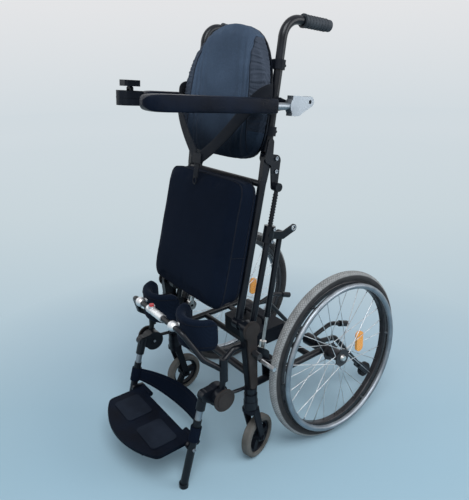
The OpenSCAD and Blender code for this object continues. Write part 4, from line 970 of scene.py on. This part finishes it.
@dataclass
class BackPad:
    """The back's padded cover: soft pleats down its front and gathered side panels.

    A pleat is given by its distance from the panel's seam, its width and its depth, in millimetres.
    """

    half: float = 160.0
    waist: float = 190.0
    reach: float = 215.0
    pleats: tuple[Point, ...] = ((-17, 7, 6.8), (-38, 9, 5.4), (-67, 14, 2.8))
    pleat_slope: float = 0.1
    seam_depth: float = 3.2
    fold_height: float = 92.0
    fold_depth: float = 2.4
    gather_from: float = 40.0
    gather_pitch: float = 0.42

    def seam(self, z: float) -> float:
        """Gives the front panel's edge, as a distance from the middle, at a height."""
        t = max(0.0, min(1.0, (z + 20) / 400))
        return self.half - 8 * t - 50 * t ** 3

    @staticmethod
    def groove(off: float, width: float, depth: float) -> float:
        """Gives the depth of a soft groove at a distance from its middle."""
        return depth * math.exp(-(off / width) ** 2)

    def pleat(self, p: Vector) -> Vector:
        """Draws the panel seam, soft pleats beside it, a fold below and fine gathers outside it.

        Args:
            p: a point of the cover in metres.

        Returns:
            Its new place.
        """
        q = BACK.inner(p)
        wide = abs(q.x)
        off = wide - self.seam(q.z)
        high = max(0.0, 1 - ((q.z - self.waist) / self.reach) ** 2)
        soft = -self.groove(off, 5, self.seam_depth)
        for at, width, depth in self.pleats:
            soft -= self.groove(off - at - self.pleat_slope * (q.z - self.waist), width, depth) * high
        fold = self.groove(q.z - self.fold_height - 0.12 * wide, 14, self.fold_depth)
        soft -= fold * max(0.0, wide - 60) / 150
        gather = 0.0
        if off > 0 and q.z > self.gather_from:
            run = q.z * self.gather_pitch + 2.2 * math.sin(q.z * 0.061 + q.x * 0.05) + off * 0.06
            gather = 0.9 * math.sin(run) + 0.6 * math.sin(run * 1.7 + 1.0)
            gather *= min(1.0, off / 10) * min(1.0, (q.z - self.gather_from) / 40)
        front = BACK.along(0.25 * math.copysign(1, q.x) if off > 0 else 0, -1, 0)
        return p + front * (soft + gather) * MM

    def build(self) -> None:
        """Swells the pad, pleats it and sews its panel seams."""
        behind = BACK.along(0, 1, 0)
        cover = Upholstery.swell("back_pad", "back_pad_cover", 0.003, 0.0045, 0.009, behind)
        Bench.shape(cover, self.pleat)
        Bench.settle(cover, CLOTH_BACK, "back", "cloth_navy", 60)
        cover.data.materials.append(Palette.of(CLOTH_GATHER))
        for face in cover.data.polygons:
            q = BACK.inner(face.center)
            face.material_index = int(abs(q.x) > self.seam(q.z) and q.z > 70)
        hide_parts("back_pad")
        for side in Side:
            line = [BACK.at(side.value * self.seam(z), -190, z) for z in range(4, 365, 6)]
            Upholstery.sew(f"back_pad_seam_{side.word}", cover, "back", line, 0.0012, cast=behind)


@dataclass
class ArmPad:
    """A moulded arm pad: a long bar with a crowned top and round ends."""

    side: Side
    rear: float
    front: float
    width: float = 54.0
    height: float = 40.0
    rise: float = -2.0
    nose_share: float = 0.8
    heel_share: float = 0.5

    def form(self, p: Vector) -> Vector:
        """Rounds the block's nose and edges, crowns its top and squares its heel.

        Args:
            p: a point of the block.

        Returns:
            Its place in metres.
        """
        length = self.rear - self.front
        u, v, w = 2 * p.x, math.sin(math.pi * p.y), 2 * p.z
        nose = max(0.0, 1 - (1 + v) * length / (self.nose_share * self.width))
        heel = max(0.0, 1 - (1 - v) * length / (self.heel_share * self.width))
        narrow = (1 - 0.95 * nose ** 2.4) ** 0.45 * (1 - 0.08 * heel ** 2)
        flat = (1 - 0.93 * nose ** 2.6) ** 0.45 * (1 - 0.1 * heel ** 2)
        x = u * self.width / 2 * narrow * (1.0 - 0.05 * abs(w) ** 3)
        z = w * self.height / 2 * flat * (1.03 - 0.06 * u * u)
        y = (self.front + self.rear) / 2 + v * length / 2
        return ARM.at(self.side.value * ARM_X + x, y, self.rise + z)

    def build(self) -> None:
        """Models the pad from a block and rounds it."""
        name = f"arm_pad_{self.side.word}"
        piece = Bench.start(f"{name}_cover", "cube", size=1.0)
        Bench.divide(piece, 9)
        Bench.shape(piece, self.form)
        Bench.tidy(piece)
        Bench.modify(piece, "SUBSURF", levels=2, render_levels=2)
        Bench.settle(piece, PAD_BLACK, f"arm_{self.side.word}", "pad_black", 120)
        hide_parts(name)


@dataclass
class KneeCup:
    """A padded knee cup: a fat horseshoe of cloth over foam, with a seam along its rim."""

    side: Side
    centre: Point = (112.0, -428.0, 496.0)
    outer: float = 86.0
    height: float = 112.0
    sweep: float = 176.0

    def build(self) -> None:
        """Swells the cup and sews its upper and lower seams."""
        node = f"knee_cup_{self.side.word}"
        cover = Upholstery.swell(node, f"{node}_cover", 0.002, 0.004, 0.006)
        Bench.settle(cover, CLOTH_CUP, f"knee_{self.side.word}", "cloth_navy", 60)
        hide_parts(node)
        cx, cy, cz = self.centre
        for name, rise in (("top", 0.33), ("low", -0.33)):
            path = []
            for i in range(61):
                a = math.radians(-90 - self.sweep / 2 + self.sweep * i / 60)
                x, y = cx + self.outer * math.cos(a), cy + self.outer * math.sin(a)
                path.append(BASE.at(self.side.value * x, y, cz + rise * self.height))
            Upholstery.sew(f"{node}_{name}_seam", cover, f"knee_{self.side.word}", path, 0.0012)


@dataclass
class CalfStrap:
    """The calf strap: a wide padded band between two sleeves on the leg posts."""

    half: float = 204.0
    offset: float = -47.0
    sag: float = 110.0
    low: float = -158.0
    high: float = -108.0
    drop: float = 44.0
    rise: float = 8.0
    sleeve: float = 18.0
    wall: float = 3.4
    thick: float = 5.0
    hem: float = 9.0

    def hang(self, p: Vector) -> Vector:
        """Deepens the band towards its middle.

        Args:
            p: a point of the band in metres.

        Returns:
            Its new place.
        """
        q = LEG.inner(p)
        share = (self.high - q.z) / (self.high - self.low)
        q.z -= share * (self.drop * (1 - (q.x / self.half) ** 2) - self.rise)
        return LEG.at(*q)

    def wrap(self, side: Side, middle: float) -> Piece:
        """Wraps one softly ribbed sleeve round a leg post, about a middle height.

        Args:
            side: the post's side.
            middle: the sleeve's middle height, in millimetres.

        Returns:
            The sleeve.
        """
        piece = Bench.start(f"calf_sleeve_{side.word}", "cylinder", vertices=48, radius=self.sleeve * MM,
                            depth=(self.high - self.low) * MM, end_fill_type="NOTHING")
        Bench.divide(piece, 5)

        def form(p: Vector) -> Vector:
            """Ribs the sleeve and puts it on its post.

            Args:
                p: a point of the sleeve.

            Returns:
                Its place in metres.
            """
            x, y, z = (value / MM for value in p)
            rib = 0.975 + 0.025 * math.cos(z * 0.32)
            return LEG.at(side.value * self.half + x * rib, self.offset + y, middle + z)

        Bench.shape(piece, form)
        Bench.modify(piece, "SOLIDIFY", thickness=self.wall * MM, offset=-1.0)
        Bench.ease(piece, 1.2 * MM)
        return piece

    def build(self) -> None:
        """Lays the band, wraps the sleeves and sews them."""
        radius = (self.half ** 2 + self.sag ** 2) / (2 * self.sag)
        turn, bow = math.asin(self.half / radius), radius - self.thick / 2
        middle, hub = (self.low + self.high) / 2, self.offset + self.sag - radius
        path = []
        for i in range(65):
            a = turn * (2 * i / 64 - 1)
            path.append(LEG.at(bow * math.sin(a), hub + bow * math.cos(a), middle))
        up, centre = LEG.along(0, 0, 1), LEG.at(0, hub, middle)
        width = (self.high - self.low - 1) * MM
        band = Bench.strap("calf_band", path, [up] * len(path), width, self.thick * MM, 10)
        Bench.shape(band, self.hang)
        Bench.modify(band, "SUBSURF", levels=1, render_levels=1)
        strap = Bench.weld("calf_strap_cover", [band, *(self.wrap(side, middle) for side in Side)])
        Bench.settle(strap, CLOTH_NAVY, "legs", "cloth_navy", 50)
        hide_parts("calf_strap")
        for name, height in (("upper", self.high - self.hem), ("lower", self.low + self.hem)):
            rows = []
            for face in (-1, 1):
                line = []
                for p in path[2:-2]:
                    proud = (centre - p).normalized() * face * self.thick / 2 * MM
                    line.append(self.hang(p + up * ((height - middle) * MM)) - proud)
                rows.append(Bench.tube(f"calf_stitch_{name}_{face}", line, 0.0007, False))
            Bench.settle(Bench.weld(f"calf_stitch_{name}", rows), PIPING, "legs", "cloth_navy")


@dataclass
class WaistBelt:
    """The waist belt: a strap from each side of the back and a tail below the buckle."""

    width: float = 36.0
    thick: float = 3.0
    tail_width: float = 24.0
    knots: tuple[Point, ...] = ((214.6, -30, 185), (222, -98, 178), (140, -92, 58), (17, -108, -24))
    tail: tuple[Point, ...] = ((0, -108, -46.8), (0, -109, -60), (1, -111, -72), (3, -113, -92))

    @staticmethod
    def bezier(knots: Sequence[Point], count: int) -> list[Vector]:
        """Gives the points of a cubic curve in the back's axes.

        Args:
            knots: the curve's four points.
            count: how many points to give.

        Returns:
            The points in millimetres.
        """
        a, b, c, d = (Vector(k) for k in knots)
        points = []
        for i in range(count):
            t = i / (count - 1)
            points.append(a * (1 - t) ** 3 + b * 3 * t * (1 - t) ** 2 + c * 3 * t * t * (1 - t) + d * t ** 3)
        return points

    def lay(self, name: str, path: list[Vector], toward: Vector, width: float) -> Piece:
        """Lays one strap with its width square to its run and near a direction.

        Args:
            name: the strap's name.
            path: its middle line in the back's axes.
            toward: the direction.
            width: its width in millimetres.

        Returns:
            The strap.
        """
        across = []
        for before, after in zip([path[0], *path], [*path[1:], path[-1]]):
            run = (after - before).normalized()
            across.append(BACK.along(*(toward - run * toward.dot(run)).normalized()))
        return Bench.strap(name, [BACK.at(*p) for p in path], across, width * MM, self.thick * MM)

    def build(self) -> None:
        """Lays both straps and the tail, and hangs them on the back."""
        half, tail = self.bezier(self.knots, 40), self.bezier(self.tail, 16)
        straps = []
        for side in Side:
            path = [Vector((side.value * p.x, p.y, p.z)) for p in half]
            straps.append(self.lay(f"belt_{side.word}", path, Vector((0, 0, 1)), self.width))
        straps.append(self.lay("belt_tail", tail, Vector((1, 0, 0)), self.tail_width))
        belt = Bench.weld("waist_belt_webbing", straps)
        Bench.settle(belt, BELT_BLACK, "back", "cloth_navy", 50)
        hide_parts("waist_belt")
        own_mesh(belt)


@dataclass
class Fittings:
    """Bright screws, eyelets and the belt's pull ring."""

    leaf_x: float = 207.3
    clamp_x: float = 237.0
    ring_x: float = 231.8
    lug_x: float = 194.0
    post_x: float = 217.0

    @staticmethod
    def fix(name: str, pieces: Sequence[Piece], body: str) -> None:
        """Joins bright fittings and hangs them on a body."""
        Bench.settle(Bench.weld(name, pieces), BRIGHT_METAL, body, "bright_metal", 35)

    @staticmethod
    def stand(piece: Piece, at: Vector, axis: Vector) -> Piece:
        """Turns a piece's own Z along an axis and puts its foot at a point.

        Args:
            piece: the piece.
            at: the point in metres.
            axis: the axis.

        Returns:
            The piece.
        """
        turn = axis.to_track_quat("Z", "Y").to_matrix().to_4x4()
        turn.translation = at
        piece.data.transform(turn)
        return piece

    def screw(self, at: Vector, axis: Vector, radius: float, height: float) -> Piece:
        """Models one socket screw head.

        Args:
            at: the middle of its seat, in metres.
            axis: the way its head faces.
            radius: the head's radius in metres.
            height: the head's height in metres.

        Returns:
            The head, with its socket sunk and its edges rounded.
        """
        piece = Bench.start("screw", "cylinder", vertices=24, radius=radius, depth=height, location=(0, 0, 0))
        Bench.pick(piece, lambda face: face.normal.z > 0.9)
        bpy.ops.mesh.inset(thickness=radius * 0.45)
        bpy.ops.mesh.extrude_region_move(TRANSFORM_OT_translate={"value": (0, 0, -height * 0.5)})
        bpy.ops.object.mode_set(mode="OBJECT")
        Bench.ease(piece, radius * 0.12, 40)
        return self.stand(piece, at + axis * height * 0.4, axis)

    def eyelet(self, at: Vector, axis: Vector, radius: float, wire: float) -> Piece:
        """Models one turned ring round a bore.

        Args:
            at: its middle in metres.
            axis: the bore's axis.
            radius, wire: its two radii in metres.

        Returns:
            The ring.
        """
        piece = Bench.start("eyelet", "torus", major_radius=radius, minor_radius=wire, major_segments=48,
                            minor_segments=14)
        Bench.shape(piece, lambda p: Vector((p.x, p.y, p.z * 0.7)))
        return self.stand(piece, at, axis)

    def build(self) -> None:
        """Sets the screws and eyelets of both sides and hangs the pull ring."""
        for side in Side:
            g, word = side.value, side.word
            out = Vector((g, 0, 0))
            leaf = [self.screw(BACK.at(g * self.leaf_x, y, z), out, 0.0062, 0.0034)
                    for y, z in ((27, 2), (32, -36))]
            self.fix(f"leaf_screws_{word}", leaf, "back")
            clamp = [self.screw(LINK.at(g * self.clamp_x, 0, z), out, 0.0052, 0.0034) for z in (391, 353)]
            clamp.append(self.eyelet(LINK.at(g * self.ring_x, 85, 396), out, 0.0072, 0.0021))
            self.fix(f"clamp_screws_{word}", clamp, f"link_{word}")
            legs = [self.screw(LEG.at(g * self.lug_x, 0, 0), -out, 0.005, 0.003),
                    self.screw(LEG.at(g * self.post_x, -47, -184.6), out, 0.0062, 0.0045)]
            self.fix(f"leg_screws_{word}", legs, "legs")
        ring = Bench.start("belt_pull_ring", "torus", major_radius=0.0085, minor_radius=0.0016,
                           major_segments=40, minor_segments=12)
        Bench.shape(ring, lambda p: BACK.at(3 + p.x / MM, -114.5 - p.z / MM, -100 + p.y / MM * 1.25))
        Bench.settle(ring, PLASTIC_BLACK, "back", "plastic_black", 60)
        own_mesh(ring)


@dataclass
class Chassis:
    """The rigid pieces, which keep their own shape and take a finish."""

    tyre_radius: float = 0.305
    wheel_x: float = 0.297
    wheel_z: float = 0.30473
    camber: float = 2.5
    peg_from: float = 0.2715
    tread_dark: Colour = (0.135, 0.136, 0.136)
    tread_light: Colour = (0.36, 0.36, 0.355)

    def wheel(self, side: Side) -> dict[str, object]:
        """Gives one rear wheel's finishes, set round its own axle.

        Args:
            side: the wheel's side.

        Returns:
            The finish of each node.
        """
        centre = (side.value * self.wheel_x, AXLE_Y * MM, self.wheel_z)
        lean = math.radians(self.camber) * side.value
        word = side.word
        tread = Tread(f"tyre_tread_{word}", centre, lean, self.tyre_radius, self.tread_dark, self.tread_light)
        return {f"tyre_{word}": tread, f"laced_wheel_{word}": WheelMetal(f"wheel_metal_{word}", centre, lean)}

    def dress(self) -> None:
        """Gives every rigid node its finish."""
        own: dict[str, object] = {"foot_grips": GRIP_GREY, "footplate": PLATE_NAVY, "push_grips": HAND_RUBBER}
        for side in Side:
            own.update(self.wheel(side))
            own[f"knee_fittings_{side.word}"] = SATIN_SILVER
            own[f"caster_tyre_{side.word}"] = CASTER_GREY
            own[f"brake_lever_{side.word}"] = PegSteel(f"brake_steel_{side.word}", side, self.peg_from)
        for name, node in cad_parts.items():
            slot = node.data.materials[0].name.split(".")[0] if node.data.materials else "frame_black"
            finish = own.get(name) or SLOT_FINISHES.get(slot, FRAME_BLACK)
            material = Palette.of(finish)
            for index in range(len(node.data.materials)):
                node.data.materials[index] = material
            LOG.info("%s takes %s (slot %s)", name, finish.name, slot)


@dataclass
class Studio:
    """The floor, the light and the camera."""

    eye: Point = (1.2913, -0.9863, 1.2710)
    yaw: float = 53.30
    pitch: float = 20.69
    roll: float = -0.97
    lens: float = 35.73
    near: Colour = (0.366, 0.521, 0.61)
    between: tuple[tuple[float, Colour], ...] = (
        (0.3, (0.581, 0.665, 0.708)), (0.55, (0.462, 0.584, 0.658)), (0.8, (0.386, 0.533, 0.617)))
    far: Colour = (0.638, 0.701, 0.741)
    wall_low: Colour = (0.642, 0.704, 0.743)
    wall_high: Colour = (0.775, 0.783, 0.799)
    stand_off: float = 1.62
    nearest: float = 0.6
    spread: float = 8.0
    fade: tuple[float, float] = (0.7, 1.5)
    horizon: tuple[float, float] = (-0.085, 0.1)
    room: tuple[float, float, float, float] = (0.74, 0.81, 0.88, 1)
    room_strength: float = 0.55

    def camera(self) -> None:
        """Sets the camera where the photograph was taken from."""
        yaw, pitch, roll = (math.radians(a) for a in (self.yaw, self.pitch, self.roll))
        Bench.clear()
        bpy.ops.object.camera_add()
        camera = bpy.context.object
        camera.data.lens, camera.data.sensor_width = self.lens, 36.0
        camera.data.clip_start, camera.data.clip_end = 0.01, 100
        tilt = Euler((math.pi / 2 - pitch, 0, yaw)).to_matrix().to_4x4()
        turn = tilt @ Matrix.Rotation(roll, 4, "Z")
        turn.translation = self.eye
        camera.matrix_world = turn
        bpy.context.scene.camera = camera

    def floor(self) -> None:
        """Lays the pale floor, which fades into the wall behind it."""
        piece = Bench.start("floor", "circle", vertices=96, radius=14.0, fill_type="NGON", location=(0, 0, 0))
        t = Tree("floor_pale")
        inputs = {0: t.place, 1: (-0.8, 0.6, 0.0)}
        depth = t.wire("ShaderNodeVectorMath", inputs, "Value", operation="DOT_PRODUCT")
        wide = t.wire("ShaderNodeVectorMath", {0: t.place}, "Value", operation="LENGTH")
        ahead = t.maths("MAXIMUM", t.plus(depth, self.stand_off), self.nearest)
        share = t.maths("MINIMUM", t.maths("DIVIDE", self.eye[2], ahead),
                        t.maths("DIVIDE", self.spread, t.times(wide, wide)))
        tone = t.ramp(t.plus(share, t.times(t.noise(2, 2), 0.01)), self.far, self.near, 0.1, 1.05)
        for position, colour in self.between:
            tone.node.color_ramp.elements.new(position).color = (*colour, 1)
        t.fix(Specular_IOR_Level=0.1)
        t.wear(tone, 0.9, t.bump(t.noise(300, 2), 0.0001, 0.1))
        glow = t.wire("ShaderNodeEmission", {"Color": tone})
        t.cross_fade(t.times(t.seen(), t.ramp(wide, 0.0, 1.0, *self.fade)), glow)
        piece.data.materials.append(t.owner)

    @staticmethod
    def lamp(name: str, place: Point, target: Point, size: float, power: float, colour: Colour) -> None:
        """Hangs one soft square lamp that looks at a point.

        Args:
            name: the lamp's name.
            place, target: where it hangs and looks, in metres.
            size: its edge in metres.
            power: its power in watts.
            colour: its colour.
        """
        Bench.clear()
        bpy.ops.object.light_add(type="AREA", location=place)
        lamp = bpy.context.object
        lamp.name = name
        lamp.data.size, lamp.data.energy, lamp.data.color = size, power, colour
        lamp.rotation_euler = (Vector(target) - Vector(place)).to_track_quat("-Z", "Y").to_euler()

    def light(self) -> None:
        """Lights the object from above, from both sides and through the pale room."""
        self.lamp("key", (1.8, -1.0, 3.2), (0, 0, 0.7), 1.8, 74, (0.93, 0.97, 1.0))
        self.lamp("side", (2.6, 2.0, 1.8), (0, 0, 0.8), 1.8, 36, (0.96, 0.98, 1.0))
        self.lamp("far", (-2.4, -1.6, 2.0), (0, 0, 0.8), 2.0, 12, (0.94, 0.97, 1.0))
        t = Tree("room", world=True)
        bpy.context.scene.world = t.owner
        t.fix(Color=self.room, Strength=self.room_strength)
        height = t.ramp(t.split()[2], 0.0, 1.0, *self.horizon)
        tone = t.ramp(height, self.wall_low, self.wall_high, 0.0, 1.0)
        t.cross_fade(t.seen(), t.wire("ShaderNodeBackground", {"Color": tone}))
        bpy.context.scene.view_settings.view_transform = "Standard"

    def build(self) -> None:
        """Sets the camera, the floor and the light."""
        self.camera()
        self.floor()
        self.light()


def main() -> None:
    """Builds the studio and every piece."""
    logging.basicConfig(level=logging.INFO, format="%(message)s")
    Studio().build()
    Chassis().dress()
    SeatCushion().build()
    BackPad().build()
    ArmPad(Side.LEFT, -81, -471).build()
    ArmPad(Side.RIGHT, -32, -212).build()
    for side in Side:
        KneeCup(side).build()
    CalfStrap().build()
    WaistBelt().build()
    Fittings().build()
    Bench.clear()


if __name__ == "__main__":
    main()
